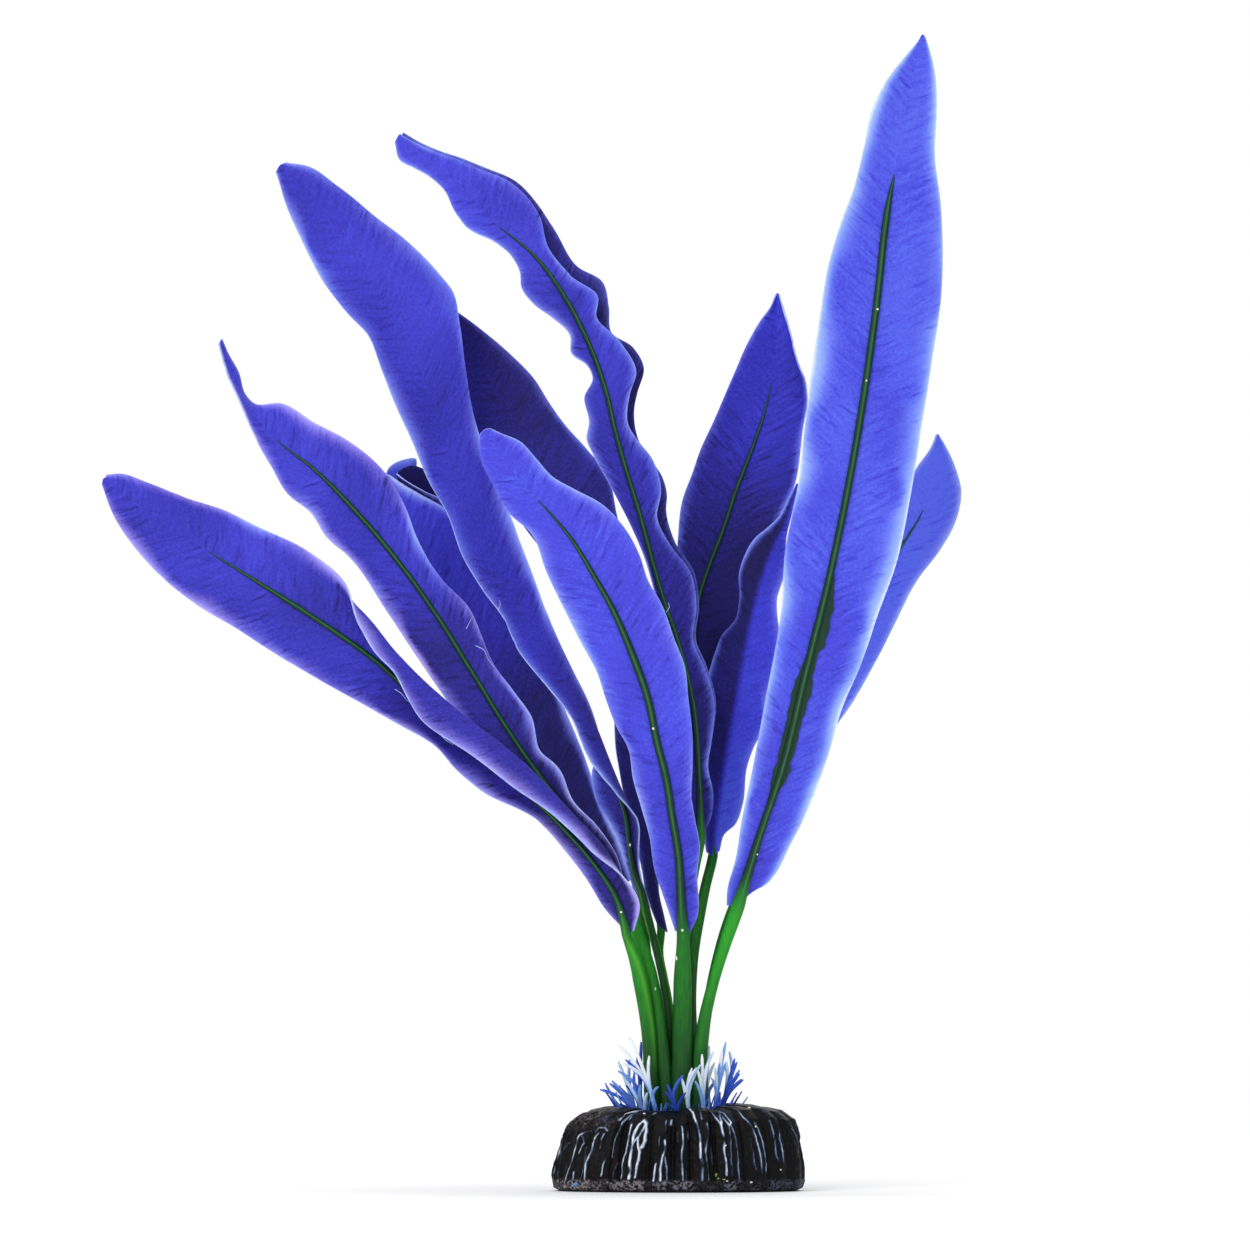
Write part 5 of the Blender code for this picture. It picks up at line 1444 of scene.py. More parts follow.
@dataclass
class RibFlash:
    """Thin ragged flanges that the mould left on both sides of a rib.

    leaf: whose rib it is
    edge: along the blade, 0 to 1, and how far the flange reaches to the left and to the right
    thickness: of the flange
    lift: distance from the cloth's middle
    rows: places along it
    """

    leaf: Leaf
    edge: Guide = ((0.12, 0.9, 1.0), (0.13, 1.2, 1.0), (0.14, 1.5, 1.3), (0.15, 1.9, 2.2),
                   (0.17, 1.9, 2.0), (0.19, 2.0, 2.1), (0.21, 2.1, 2.0), (0.24, 2.2, 2.4),
                   (0.255, 2.0, 2.5), (0.265, 1.8, 2.0), (0.28, 1.3, 1.8), (0.285, 1.0, 1.7),
                   (0.298, 1.0, 2.0), (0.304, 1.0, 3.2), (0.312, 1.0, 2.8), (0.33, 1.0, 3.2),
                   (0.345, 1.0, 3.0), (0.36, 0.9, 2.5), (0.38, 0.8, 1.4), (0.4, 0.7, 0.7))
    thickness: float = 0.3
    lift: float = 0.42
    rows: int = 90

    def build(self, finish: bpy.types.Material) -> bpy.types.Object:
        """Build the flanges.

        Args:
            finish: their finish.

        Returns:
            The flanges as one closed strip.
        """
        along, left, right = np.transpose(self.edge)
        steps = np.linspace(along[0], along[-1], self.rows)
        ragged = 1 + 0.12 * wander(steps * 200, 1.3, 2.0)
        reach = np.stack([np.interp(steps, along, side) for side in (-left, 0 * left, right)], -1)
        grid = Surface(self.leaf).at(steps, BY_RIB)
        normal = Surface.normals(grid)[:, 1] * self.leaf.face.value
        across = grid[:, 2] - grid[:, 0]
        across /= np.linalg.norm(across, axis=1, keepdims=True)
        reach = reach * ragged[:, None]
        flat = grid[:, [1]] + across[:, None] * reach[..., None]
        upper, lower = (flat + normal[:, None] * (self.lift + side * self.thickness / 2)
                        for side in (1, -1))
        ring = np.concatenate((upper, lower[:, ::-1]), axis=1)
        mesh = grid_mesh(f"flash_{self.leaf.name}", ring, around=True)
        shape = bmesh.new()
        shape.from_mesh(mesh)
        bmesh.ops.holes_fill(shape, edges=[edge for edge in shape.edges if edge.is_boundary])
        bmesh.ops.recalc_face_normals(shape, faces=shape.faces)
        shape.to_mesh(mesh)
        shape.free()
        mesh.set_sharp_from_angle(angle=math.radians(50))
        count = len(mesh.vertices)
        store(mesh, "plastic", np.tile((0.3, 1.0, 0.0), (count, 1)))
        store(mesh, "ridge", np.full(count, 0.12))
        return link(mesh.name, mesh, finish)


# Where ends of thread have worked loose from the margins
LOOSE_THREADS = (
    ((-52.6, -12.2, 141.6), (-50.4, -12.8, 140.4), (-49.4, -12.6, 138.2), (-47.8, -11.4, 136.1)),
    ((-73.4, -24.4, 130.2), (-71.9, -25.4, 129.3), (-70.2, -25.2, 127.4), (-68.6, -24.4, 126.2)),
    ((-62, -24, 119.4), (-60.6, -24.8, 117.4), (-58.2, -24.2, 115.8)),
    ((-55, -11, 146), (-54.2, -11.8, 147.6), (-53.4, -11.4, 149.3)),
    ((-46.8, -9.8, 150.8), (-46.2, -10.4, 152.2), (-46.4, -9.6, 153.4)),
    ((-3.2, -31.6, 150), (-2.4, -32.2, 151.2), (-2.6, -31.2, 152.6)),
)


def loose_threads(sweep: SweepTree, finish: bpy.types.Material) -> bpy.types.Object:
    """Draw the loose threads.

    Args:
        sweep: the nodes that draw along a line.
        finish: their finish.

    Returns:
        The threads as one piece.
    """
    lines = []
    for points in LOOSE_THREADS:
        line = Path(points).at(np.linspace(0, 1, 12))
        lines.append(Line(line, np.linspace(0.11, 0.05, 12), np.tile((0.0, -1.0, 0.0), (12, 1)),
                          np.zeros((12, 3))))
    return sweep.draw("loose_threads", lines, finish, 5, 1.0)


# Grass


@dataclass(frozen=True)
class Sprig:
    """A forked sprig of grass, in millimetres.

    foot: where it stands on the pocket's floor
    tips: the tips of its leading needle and its side needles
    tints: from 0, deep blue, to 1, white, at the foot and at each tip
    """

    foot: tuple[float, float]
    tips: Guide
    tints: tuple[float, ...]


SPRIGS = (
    Sprig((-4.6, -7.2), ((-12.8, -9, 40.1), (-7.5, -10, 35.1), (-14.2, -10.5, 33.1),
                         (-15.5, -8, 37.9), (-13.7, -8.6, 34.1), (-5.1, -10.6, 27.1)),
          (0.3, 1.0, 0.97, 0.9, 0.97, 0.25, 0.5)),
    Sprig((-7, -6.6), ((-14.1, -9.6, 29.3), (-9.8, -11, 27.6), (-11.4, -9.4, 30.8),
                       (-8, -11.6, 25.6)),
          (0.35, 0.75, 0.55, 0.2, 0.85)),
    Sprig((-9.4, -4.4), ((-17.2, -6.6, 28.6), (-20.3, -7.6, 26.3), (-17.8, -8, 27.9),
                         (-15.2, -8.5, 22.6)), (0.2, 0.5, 0.32, 0.35, 0.08)),
    Sprig((-10, -1.6), ((-9.6, -5.4, 38.7), (-10.7, -6, 34.8), (-15.6, -2.4, 31),
                        (-13.6, -5, 27.4)),
          (0.05, 0.16, 0.2, 0.5, 0.1)),
    Sprig((-10.2, 1.4), ((-15.6, 3, 33.4), (-16.6, 0.6, 27.4), (-13, 4, 30), (-12.6, 0, 34)),
          (0.3, 0.8, 0.5, 0.3, 0.7)),
    Sprig((0.8, -7.6), ((-2.8, -9.4, 27.7), (-3.5, -11, 25.9), (1.3, -11, 30), (2, -10.6, 25.6),
                        (-2.2, -11.8, 22.4)), (0.02, 0.14, 0.1, 0.3, 0.05, 0.3)),
    Sprig((3.6, -7.4), ((0.9, -10.2, 29.4), (3.6, -9.6, 31.9), (4.8, -10.2, 32), (5.8, -9.4, 32.8)),
          (0.35, 0.85, 0.9, 0.8, 0.75)),
    Sprig((6.6, -6.8), ((6.2, -9.2, 35.5), (5.1, -11, 31.4), (9.2, -9.2, 36.2), (7.8, -10.6, 33.5),
                        (4.4, -10.8, 28.6)), (0.3, 0.98, 0.95, 0.75, 0.9, 0.6)),
    Sprig((9, -4.6), ((12.4, -7, 38.6), (9.6, -9.6, 32), (11.4, -8, 36.6), (12.3, -9, 33.2),
                      (10.7, -9.4, 33.1), (8.6, -9, 29.4)),
                      (0.15, 0.55, 0.9, 0.95, 0.5, 0.55, 0.7)),
    Sprig((10.2, -1.6), ((15.3, -4, 33.4), (17, -4.6, 28.8), (14.7, -3.4, 34.3), (16, -5, 30.4),
                         (12.6, -2, 33.6)), (0.1, 0.25, 0.2, 0.25, 0.25, 0.8)),
    Sprig((9.8, 2.6), ((16, 2, 31.2), (13.4, 6, 36), (16.6, 5, 28.8), (12.4, 3, 33)),
          (0.1, 0.4, 0.7, 0.2, 0.5)),
    Sprig((7, 6.8), ((8.2, 10.4, 37.4), (12, 10, 30), (9.6, 11, 33), (5, 11.6, 32)),
          (0.3, 0.9, 0.4, 0.8, 0.6)),
    Sprig((0.8, 7.6), ((1.8, 11, 37), (4.4, 12.8, 30), (-1.6, 12.6, 31), (-0.2, 12, 34)),
          (0.1, 0.3, 0.2, 0.6, 0.5)),
    Sprig((-5.6, 7), ((-7.4, 11, 37), (-11.8, 9.8, 31), (-5, 12.6, 29.6), (-9, 12, 33)),
          (0.3, 0.95, 0.7, 0.3, 0.9)),
)


@dataclass
class PlasticGrass:
    """Forked sprigs of plastic grass, and the short stuff packed round their feet.

    foot_z: height of the pocket's floor
    fork_start: how far up the leading needle a side needle as tall as it leaves it
    fork_step: how much further up the next ones leave
    foot_radius: half width of a needle at its foot
    tip_radius: half width near its tip
    fill_density: short needles on a square metre
    fill_radius, fill_height: half width and height of the tallest of them
    fill_lean: how far the outer ones lean out, in degrees
    fill_across, fill_deep: half width and half depth of the patch they fill
    """

    foot_z: float = FOOT_Z
    fork_start: float = 0.4
    fork_step: float = 0.07
    foot_radius: float = 0.68
    tip_radius: float = 0.38
    fill_density: float = 1100000.0
    fill_radius: float = 0.55
    fill_height: float = 12.5
    fill_lean: float = 25.0
    fill_across: float = 12.0
    fill_deep: float = 9.2

    def needle(self, start: np.ndarray, way: np.ndarray, tip: np.ndarray, radius: float,
               tints: tuple[float, float]) -> Line:
        """Lay out a needle that leaves one way and bends over to its tip.

        Args:
            start: where it starts.
            way: unit vector in which it leaves.
            tip: its tip.
            radius: half width at its start.
            tints: tints at its start and its tip.

        Returns:
            The needle's line.
        """
        span = float(np.linalg.norm(tip - start))
        share = np.linspace(0, 1, max(6, round(span / 1.2)))
        bend = start + way * span * 0.5
        points = (np.outer((1 - share) ** 2, start) + np.outer(2 * share * (1 - share), bend)
                  + np.outer(share ** 2, tip))
        thick = radius + (self.tip_radius - radius) * share
        thick *= 1 - 0.5 * ease(share, 0.93, 1.0)
        tone = tints[0] + (tints[1] - tints[0]) * ease(share, 0.0, 0.75)
        return Line(points, thick, np.tile((0.0, -1.0, 0.2), (len(share), 1)),
                    np.stack((tone, 0 * tone, 0 * tone), -1))

    def sprig(self, index: int, sprig: Sprig, sweep: SweepTree,
              finish: bpy.types.Material) -> bpy.types.Object:
        """Build one sprig.

        Args:
            index: its number.
            sprig: where it stands and reaches.
            sweep: the nodes that draw along a line.
            finish: its finish.

        Returns:
            The sprig.
        """
        foot = np.array((*sprig.foot, self.foot_z))
        tips = np.array(sprig.tips, float)
        lead = tips[0] - foot
        upright = np.array((0, 0, 1.0)) + lead / np.linalg.norm(lead)
        upright /= np.linalg.norm(upright)
        lines = [self.needle(foot, upright, tips[0], self.foot_radius,
                             (sprig.tints[0], sprig.tints[1]))]
        for i, tip in enumerate(tips[1:], start=1):
            rise = (tip[2] - foot[2]) / (tips[0][2] - foot[2])
            place = min(max(self.fork_start * rise + self.fork_step * (i % 3), 0.12), 0.62)
            at = int(place * (len(lines[0].points) - 1))
            fork = lines[0].points[at]
            way = lines[0].points[at + 1] - fork
            lines.append(self.needle(fork, way / np.linalg.norm(way), tip, self.foot_radius * 0.75,
                                     (float(lines[0].plastic[at, 0]), sprig.tints[i + 1])))
        return sweep.draw(f"grass_{index:02d}", lines, finish, 8, 0.55)

    def pack(self, finish: bpy.types.Material) -> bpy.types.Object:
        """Pack the pocket round the stems' feet with short needles, by Geometry Nodes.

        Args:
            finish: their finish.

        Returns:
            The packing.
        """
        values = {"Density": self.fill_density, "Radius": self.fill_radius * MM,
                  "Height": self.fill_height * MM, "Lean": math.radians(self.fill_lean)}
        tree, given, keys = new_tree(
            "grass_packing", {"Floor": "Geometry", **dict.fromkeys(values, "Float")})
        points = add(tree, "GeometryNodeDistributePointsOnFaces",
                     {"Mesh": given["Floor"], "Density": given["Density"], "Seed": 5})
        tip = add(tree, "ShaderNodeCombineXYZ", {2: given["Height"]})
        line = add(tree, "GeometryNodeCurvePrimitiveLine", {"Start": (0, 0, 0), "End": tip})
        line = add(tree, "GeometryNodeResampleCurve", {"Curve": line, "Count": 5})
        ring = add(tree, "GeometryNodeCurvePrimitiveCircle",
                   {"Resolution": 5, "Radius": given["Radius"]})
        along = add(tree, "GeometryNodeSplineParameter").outputs["Factor"]
        slim = add(tree, "ShaderNodeMapRange", {"Value": along, "To Min": 1.0, "To Max": 0.3})
        needle = add(tree, "GeometryNodeCurveToMesh",
                     {"Curve": line, "Profile Curve": ring, "Scale": slim, "Fill Caps": True})
        needle = add(tree, "GeometryNodeSetShadeSmooth", {"Geometry": needle})
        place = add(tree, "ShaderNodeSeparateXYZ", {0: add(tree, "GeometryNodeInputPosition")})
        out = [add(tree, "ShaderNodeMath", {0: place.outputs[i], 1: sign / (self.fill_across * MM)},
                   operation="MULTIPLY") for i, sign in ((1, -1), (0, 1))]
        lean = add(tree, "ShaderNodeCombineXYZ", {0: out[0], 1: out[1]})
        stray = add(tree, "FunctionNodeRandomValue",
                    {0: (-0.6, -0.6, 0.0), 1: (0.6, 0.6, 6.28), "Seed": 3},
                    data_type="FLOAT_VECTOR")
        lean = add(tree, "ShaderNodeVectorMath", {0: lean, 1: stray}, operation="ADD")
        lean = add(tree, "ShaderNodeVectorMath", {0: lean, "Scale": given["Lean"]},
                   operation="SCALE")
        size = add(tree, "FunctionNodeRandomValue", {2: 0.5, 3: 1.0, "Seed": 9}, data_type="FLOAT")
        outer = add(tree, "ShaderNodeMath", {0: place.outputs[0]}, operation="ABSOLUTE")
        outer = add(tree, "ShaderNodeMapRange",
                    {"Value": outer, "From Max": self.fill_across * MM, "To Min": 0.5,
                     "To Max": 1.35})
        size = add(tree, "ShaderNodeMath", {0: size, 1: outer}, operation="MULTIPLY")
        grass = add(tree, "GeometryNodeInstanceOnPoints",
                    {"Points": points, "Instance": needle, "Rotation": lean, "Scale": size})
        tint = add(tree, "FunctionNodeRandomValue",
                   {0: (0.0, 0.0, 0.0), 1: (0.6, 0.0, 0.0), "Seed": 14},
                   data_type="FLOAT_VECTOR")
        grass = add(tree, "GeometryNodeStoreNamedAttribute",
                    {"Geometry": grass, "Name": "plastic", "Value": tint},
                    data_type="FLOAT_VECTOR", domain="INSTANCE")
        grass = add(tree, "GeometryNodeRealizeInstances", {"Geometry": grass})
        grass = add(tree, "GeometryNodeSetMaterial", {"Geometry": grass, "Material": finish})
        add(tree, "NodeGroupOutput", {"Geometry": grass})

        angle = np.linspace(0, 2 * math.pi, 32, endpoint=False)
        ring = np.stack((self.fill_across * np.cos(angle), self.fill_deep * np.sin(angle),
                         0 * angle + self.foot_z - 0.5), -1)
        mesh = bpy.data.meshes.new("grass_packing")
        mesh.from_pydata((ring * MM).tolist(), [], [tuple(range(len(ring)))])
        return run(link("grass_packing", mesh), tree, keys, values)


# Rock


@dataclass(frozen=True)
class Crest:
    """A thin crest on the rock that caught the paint, in millimetres.

    line: points, each a distance round the rock and a height
    width: half width of the crest
    paint: how much paint it caught, 0 to 1
    """

    line: tuple[tuple[float, float], ...]
    width: float = 0.22
    paint: float = 0.7


# On the front the first number of a point is its place from left to right
FRONT_CRESTS = (
    Crest(((-32.6, 3.4), (-32.2, 8), (-31, 12.4)), 0.3, 0.35),
    Crest(((-30.6, 4), (-30.2, 9), (-29.4, 12.6)), 0.16, 0.35),
    Crest(((-29.2, 2.3), (-28.5, 6), (-28.2, 10), (-28, 14.1), (-27, 15.4), (-25.8, 15.7)),
          0.24, 0.8),
    Crest(((-27.3, 2.6), (-27.3, 5)), 0.2, 0.7),
    Crest(((-27, 9.8), (-26.6, 12.6), (-27.2, 14.3)), 0.22, 0.65),
    Crest(((-25.8, 3), (-25.6, 7), (-25.4, 11.6)), 0.2, 0.55),
    Crest(((-24.3, 3.3), (-24.1, 7.5), (-23.5, 10.5), (-23.2, 13.7), (-22.5, 15)), 0.38, 0.8),
    Crest(((-24.6, 5.4), (-24.8, 9)), 0.3, 0.45),
    Crest(((-23.6, 15.2), (-22.6, 16.6), (-21, 16.6), (-20.2, 15.8)), 0.22, 0.7),
    Crest(((-21.3, 11.2), (-21.4, 13.4), (-20.8, 15)), 0.26, 0.65),
    Crest(((-20.1, 4.2), (-19.9, 6.6), (-19.8, 9)), 0.2, 0.8),
    Crest(((-17.1, 2.8), (-16.5, 7.6)), 0.16, 0.35),
    Crest(((-17.8, 9), (-17.7, 13), (-16.9, 17.4), (-16.1, 20)), 0.28, 0.7),
    Crest(((-18.4, 18.6), (-17.9, 20.2), (-16.4, 20.9), (-15.4, 20.2), (-15.6, 18.8)), 0.34, 0.8),
    Crest(((-14.9, 3.6), (-15, 7.4), (-14.2, 10.2), (-13.9, 13.2), (-13.7, 17.4)), 0.26, 0.8),
    Crest(((-12.7, 3.6), (-12.8, 11.4), (-12.3, 15), (-11.7, 17.2), (-10.6, 18.5), (-9.6, 17.7),
           (-9.2, 15.4), (-9.3, 13.2), (-9.9, 11.6)), 0.4, 1.0),
    Crest(((-11.2, 3.9), (-10.7, 7.5), (-10.3, 10.4), (-10.9, 12.6), (-11.2, 14), (-10.4, 15.8),
           (-9.8, 17.2)), 0.3, 0.95),
    Crest(((-12.5, 12.2), (-11.2, 14.2)), 0.24, 0.8),
    Crest(((-8.9, 20.3), (-8.5, 20.9)), 0.4, 0.7),
    Crest(((-6.4, 2.7), (-6.2, 4.8), (-5.9, 7.4)), 0.24, 0.9),
    Crest(((-5.6, 10.4), (-5.2, 12.2), (-5, 14.4)), 0.16, 0.5),
    Crest(((-4.7, 2.7), (-4.6, 6), (-4.1, 9.2), (-3.6, 11.4), (-3.5, 13.4)), 0.3, 0.9),
    Crest(((-3, 2.7), (-3, 6), (-3.4, 9.2)), 0.2, 0.7),
    Crest(((-3.8, 16), (-3.7, 18.4)), 0.26, 0.7),
    Crest(((-2.2, 17.4), (-2, 18.4)), 0.36, 0.8),
    Crest(((-0.2, 12.8), (-0.3, 15.4)), 0.14, 0.4),
    Crest(((1, 1.9), (1, 5.8), (0.8, 9.2), (1.2, 12.6), (1.3, 15), (1, 17)), 0.24, 0.85),
    Crest(((2.8, 17), (2.6, 13.6)), 0.18, 0.6),
    Crest(((2.1, 3.4), (2.1, 5.8)), 0.14, 0.4),
    Crest(((4.4, 21.5), (4.9, 20.4), (5.2, 18), (5.8, 15.2), (6.1, 11.5), (5.9, 9)), 0.3, 0.95),
    Crest(((5.9, 9), (6.5, 7), (6.3, 3)), 0.36, 0.6),
    Crest(((6.9, 21), (7, 19)), 0.3, 0.55),
    Crest(((8.2, 17.8), (8.2, 16), (7.6, 12.6), (7.3, 10.4), (7.6, 7), (7.9, 3.3)), 0.24, 0.8),
    Crest(((9.2, 12), (9.4, 5.8)), 0.16, 0.5),
    Crest(((12.4, 4.4), (12.3, 9), (12.2, 13), (12, 17.2), (11.3, 19), (10.6, 20.7)), 0.27, 0.85),
    Crest(((12, 17.4), (12.4, 19.6), (13, 20.6), (13.9, 20.7), (14.4, 19.7), (14.7, 18),
           (14.1, 17.3), (13.4, 18.3), (13, 19.6)), 0.28, 0.9),
    Crest(((13.6, 3.9), (13.7, 9), (13.9, 13.7), (14, 17)), 0.18, 0.6),
    Crest(((15.6, 3.2), (15.3, 7.5), (15.3, 11.5), (15, 15.2), (14.6, 17.2)), 0.22, 0.65),
    Crest(((20.4, 4.6), (19.8, 7.6), (19.4, 11), (19.4, 13.8)), 0.18, 0.5),
    Crest(((21.3, 5), (21.2, 8), (20.8, 12.3), (20.4, 15.4), (19.9, 17.6), (19.2, 19),
           (18.8, 21.6)),
          0.22, 0.8),
    Crest(((22.8, 5), (22.9, 7.5), (22.3, 11), (21.9, 13.7), (21.6, 16), (21.2, 17.7)), 0.24, 0.7),
    Crest(((26.3, 7.4), (25.9, 11), (25.7, 14), (25.6, 18.4)), 0.24, 0.6),
    Crest(((25.8, 15), (25.7, 17.2)), 0.45, 0.6),
    Crest(((27.3, 7.6), (27.4, 11.5), (27.1, 13.4), (27.4, 16), (27.1, 18.8)), 0.28, 0.65),
    Crest(((28.4, 6), (28.3, 10.4), (28.2, 14)), 0.16, 0.4),
    Crest(((30.3, 15.6), (30.9, 11.4)), 0.22, 0.4),
    Crest(((30.9, 16), (31.6, 12.6), (32, 10), (32, 6.6)), 0.4, 0.5),
)


@dataclass
class RockBase:
    """The weighted base: a lump of ribbed rock with a pocket on top, brushed with pale paint.

    half_width: from its middle to its left or right end
    half_depth: from its middle to its front or back
    around: faces round it
    groove: depth of the grooves between the columns
    crest: height of the thin crests on each column
    stray: how far the crests stray from their lines
    rough: height of the small lumps
    fine: distance between rings where the relief shows
    coarse: distance between rings elsewhere
    """

    half_width: float = 33.0
    half_depth: float = 23.0
    around: int = 880
    groove: float = 1.7
    crest: float = 0.4
    stray: float = 0.3
    rough: float = 0.22
    fine: float = 0.33
    coarse: float = 1.2
    # Share of the half width, height and share of the relief, from the underside over the top to
    # the pocket
    profile: Guide = ((0.94, 0.0, 0.0), (0.985, 0.7, 0.0), (1.0, 2.5, 0.1), (1.0, 3.4, 0.8),
                      (0.99, 7.0, 1.0), (0.945, 14.5, 1.0), (0.895, 18.3, 0.95), (0.80, 20.6, 0.8),
                      (0.68, 21.4, 0.5), (0.56, 21.6, 0.3), (0.49, 20.8, 0.2), (0.455, 19.0, 0.0),
                      (0.44, 15.0, 0.0), (0.2, 14.2, 0.0))
    # How high the rock's top stands, from left to right
    crown: tuple[tuple[float, float], ...] = (
        (-30, 20.6), (-24, 20.4), (-20.5, 21.5), (-16.4, 21.3), (-12.7, 21.1), (-8, 20.8),
        (-3.4, 20.1), (-0.6, 19.8), (2.6, 21.4), (5.9, 21.9), (10.6, 21.2), (12.9, 21.9),
        (18.9, 22.1), (21.2, 21.3), (24, 21.7), (30, 21.4))
    # Where the grooves lie, in degrees from the right end round by the back
    grooves: tuple[float, ...] = (
        11, 26, 40, 52, 66, 79, 93, 106, 118, 133, 147, 163, 178, 191, 201.5, 218, 236, 241, 255.4,
        267.2, 276, 288, 302.4, 316.4, 332, 348)

    def build(self, finish: bpy.types.Material) -> bpy.types.Object:
        """Build the rock.

        Args:
            finish: its finish.

        Returns:
            The rock.
        """
        shares, heights, swells = self.rings()
        angle = np.linspace(0, 2 * math.pi, self.around, endpoint=False)
        ring = np.stack((np.cos(angle), np.sin(angle)), -1)
        column, local, wide = self.columns(angle)
        dice = np.random.default_rng(4)
        rise, stand = (dice.uniform(-1, 1, len(self.grooves)) for _ in range(2))
        z = heights[:, None] + 0.0 * angle
        swell, share = swells[:, None], shares[:, None]
        bulge = np.sin(np.pi * local) ** 0.6 - 1
        out = swell * (self.groove * bulge + 0.5 * stand[column])
        lean = np.where(ring[:, 0] > 0, 0.03, 0.052) * ring[:, 0] * z / 18

        drift, shake, lumps = (noise_at(*ring.T * a, heights[:, None] / b)
                               for a, b in ((9, 7.0), (14, 3.0), (30, 1.2)))
        crown = np.interp(ring[:, 0] * 0.7 * self.half_width, *np.transpose(self.crown))
        top = ease(z, 13.0, 20.0)
        lift = top * (crown - 21.3 + 0.3 * rise[column] * ring[:, 1]) * (share > 0.5)
        place = self.place(angle)[None, :] + self.stray * shake
        crest = self.crest_field(place, z + lift, self.crests(column, local, wide, angle))
        crest = crest * np.minimum(swell * 2, 1)
        out = out + self.crest * np.sqrt(crest) + swell * (0.5 * drift + self.rough * lumps)
        across = share * (1 + lean)
        x = ring[:, 0] * (self.half_width * across + out)
        y = ring[:, 1] * (self.half_depth * across + out)
        points = np.stack((x, y, z + lift), -1)

        held = np.clip(1.15 + 1.2 * shake + 0.8 * drift, 0.5, 1.2)
        dusting = 0.35 * top * (share > 0.6) * (1 + bulge) * np.clip(0.2 + 2 * drift, 0, 1)
        paint = np.clip(np.maximum(crest * held, dusting), 0, 1)
        wash = (1 - ease(z, 2.5, 3.4)) * (share > 0.95) * np.clip(0.7 + 2.5 * drift, 0.15, 1)
        shoulder = 0.5 * ease(z, 15.0, 19.0) * ease(-x, 13.0, 22.0) * (share > 0.6)
        wash = np.maximum(wash, shoulder * np.clip(0.5 + 2 * shake, 0, 1))
        side = np.clip(0.5 + x / (2 * self.half_width), 0, 1)
        mesh = grid_mesh("rock", points, around=True)
        closed = self.close(mesh, heights[0], heights[-1])
        values = np.stack((paint, wash, side), -1).reshape(-1, 3)
        store(closed, "rock", np.vstack((values, (0, 0, 0.5), (0, 0, 0.5))))
        return link("brushed_rock", closed, finish)

    def rings(self) -> tuple[np.ndarray, np.ndarray, np.ndarray]:
        """Set out the rock's rings.

        Returns:
            For each ring its share of the half width, its height, and how much of the relief shows.
        """
        profile = np.array(self.profile)
        rings = []
        for start, end in zip(profile, profile[1:]):
            span = math.hypot((end[0] - start[0]) * self.half_width, end[1] - start[1])
            pitch = self.fine if start[1] > 2 and start[0] > 0.56 else self.coarse
            steps = max(1, round(span / pitch))
            rings += [start + (end - start) * i / steps for i in range(steps)]
        return tuple(np.array([*rings, profile[-1]]).T)

    def columns(self, angle: np.ndarray) -> tuple[np.ndarray, np.ndarray, np.ndarray]:
        """Find the column that each place round the rock belongs to.

        Args:
            angle: the places, in radians from the right end round by the back.

        Returns:
            Its number, how far across it the place is, 0 to 1, and its width in millimetres.
        """
        degrees = np.degrees(angle)
        marks = np.array(self.grooves)
        column = (np.searchsorted(marks, degrees, side="right") - 1) % len(marks)
        low = marks[column]
        high = np.where(column == len(marks) - 1, marks[0] + 360, marks[(column + 1) % len(marks)])
        within = np.where(degrees < marks[0], degrees + 360, degrees)
        local = (within - low) / (high - low)
        edge = np.hypot(np.sin(angle) * self.half_width, np.cos(angle) * self.half_depth)
        return column, local, np.radians(high - low) * edge

    def place(self, angle: np.ndarray) -> np.ndarray:
        """Distances round the rock from the middle of its front, to the right."""
        steps = np.linspace(0, 2 * math.pi, 7201)
        edge = np.hypot(np.sin(steps) * self.half_width, np.cos(steps) * self.half_depth)
        reach = np.cumsum(edge) * (steps[1] - steps[0])
        whole, front = reach[-1], reach[5400]
        return (np.interp(angle, steps, reach) - front + whole / 2) % whole - whole / 2

    def crests(self, column: np.ndarray, local: np.ndarray, wide: np.ndarray,
               angle: np.ndarray) -> list[Crest]:
        """Set out the crests: as listed on the front, by rule on the ends and the back.

        Args:
            column: the number of the column at each place round the rock.
            local: how far across its column each place is.
            wide: width of the column there.
            angle: the places, in radians.

        Returns:
            The crests, with their places round the rock.
        """
        result = []
        for crest in FRONT_CRESTS:
            spots = np.clip(np.array([x for x, _ in crest.line]) / self.half_width, -0.999, 0.999)
            round_it = self.place(2 * math.pi - np.arccos(spots))
            result.append(Crest(tuple(zip(round_it, (z for _, z in crest.line))), crest.width,
                                crest.paint))
        dice = np.random.default_rng(21)
        for number in range(len(self.grooves)):
            middle = np.flatnonzero((column == number) & (np.abs(local - 0.5) < 0.03))
            if not len(middle) or 190 < math.degrees(angle[middle[0]]) < 350:
                continue
            spot = float(self.place(angle[middle[:1]])[0])
            half = float(wide[middle[0]]) * dice.uniform(0.13, 0.27)
            peak, foot, fork = dice.uniform(16.5, 20.5), dice.uniform(2.8, 4.5), dice.uniform(8, 13)
            stop = dice.uniform(5, 11.5)
            bend = dice.uniform(-0.6, 0.6, 4)
            width, paint = dice.uniform(0.2, 0.34), dice.uniform(0.65, 1)
            left, right = spot - half, spot + half
            arch = ((left + bend[0], foot), (left, 8), (left + bend[1], peak - 4.5),
                    (spot + bend[2], peak), (right + bend[2], peak - 4), (right, stop))
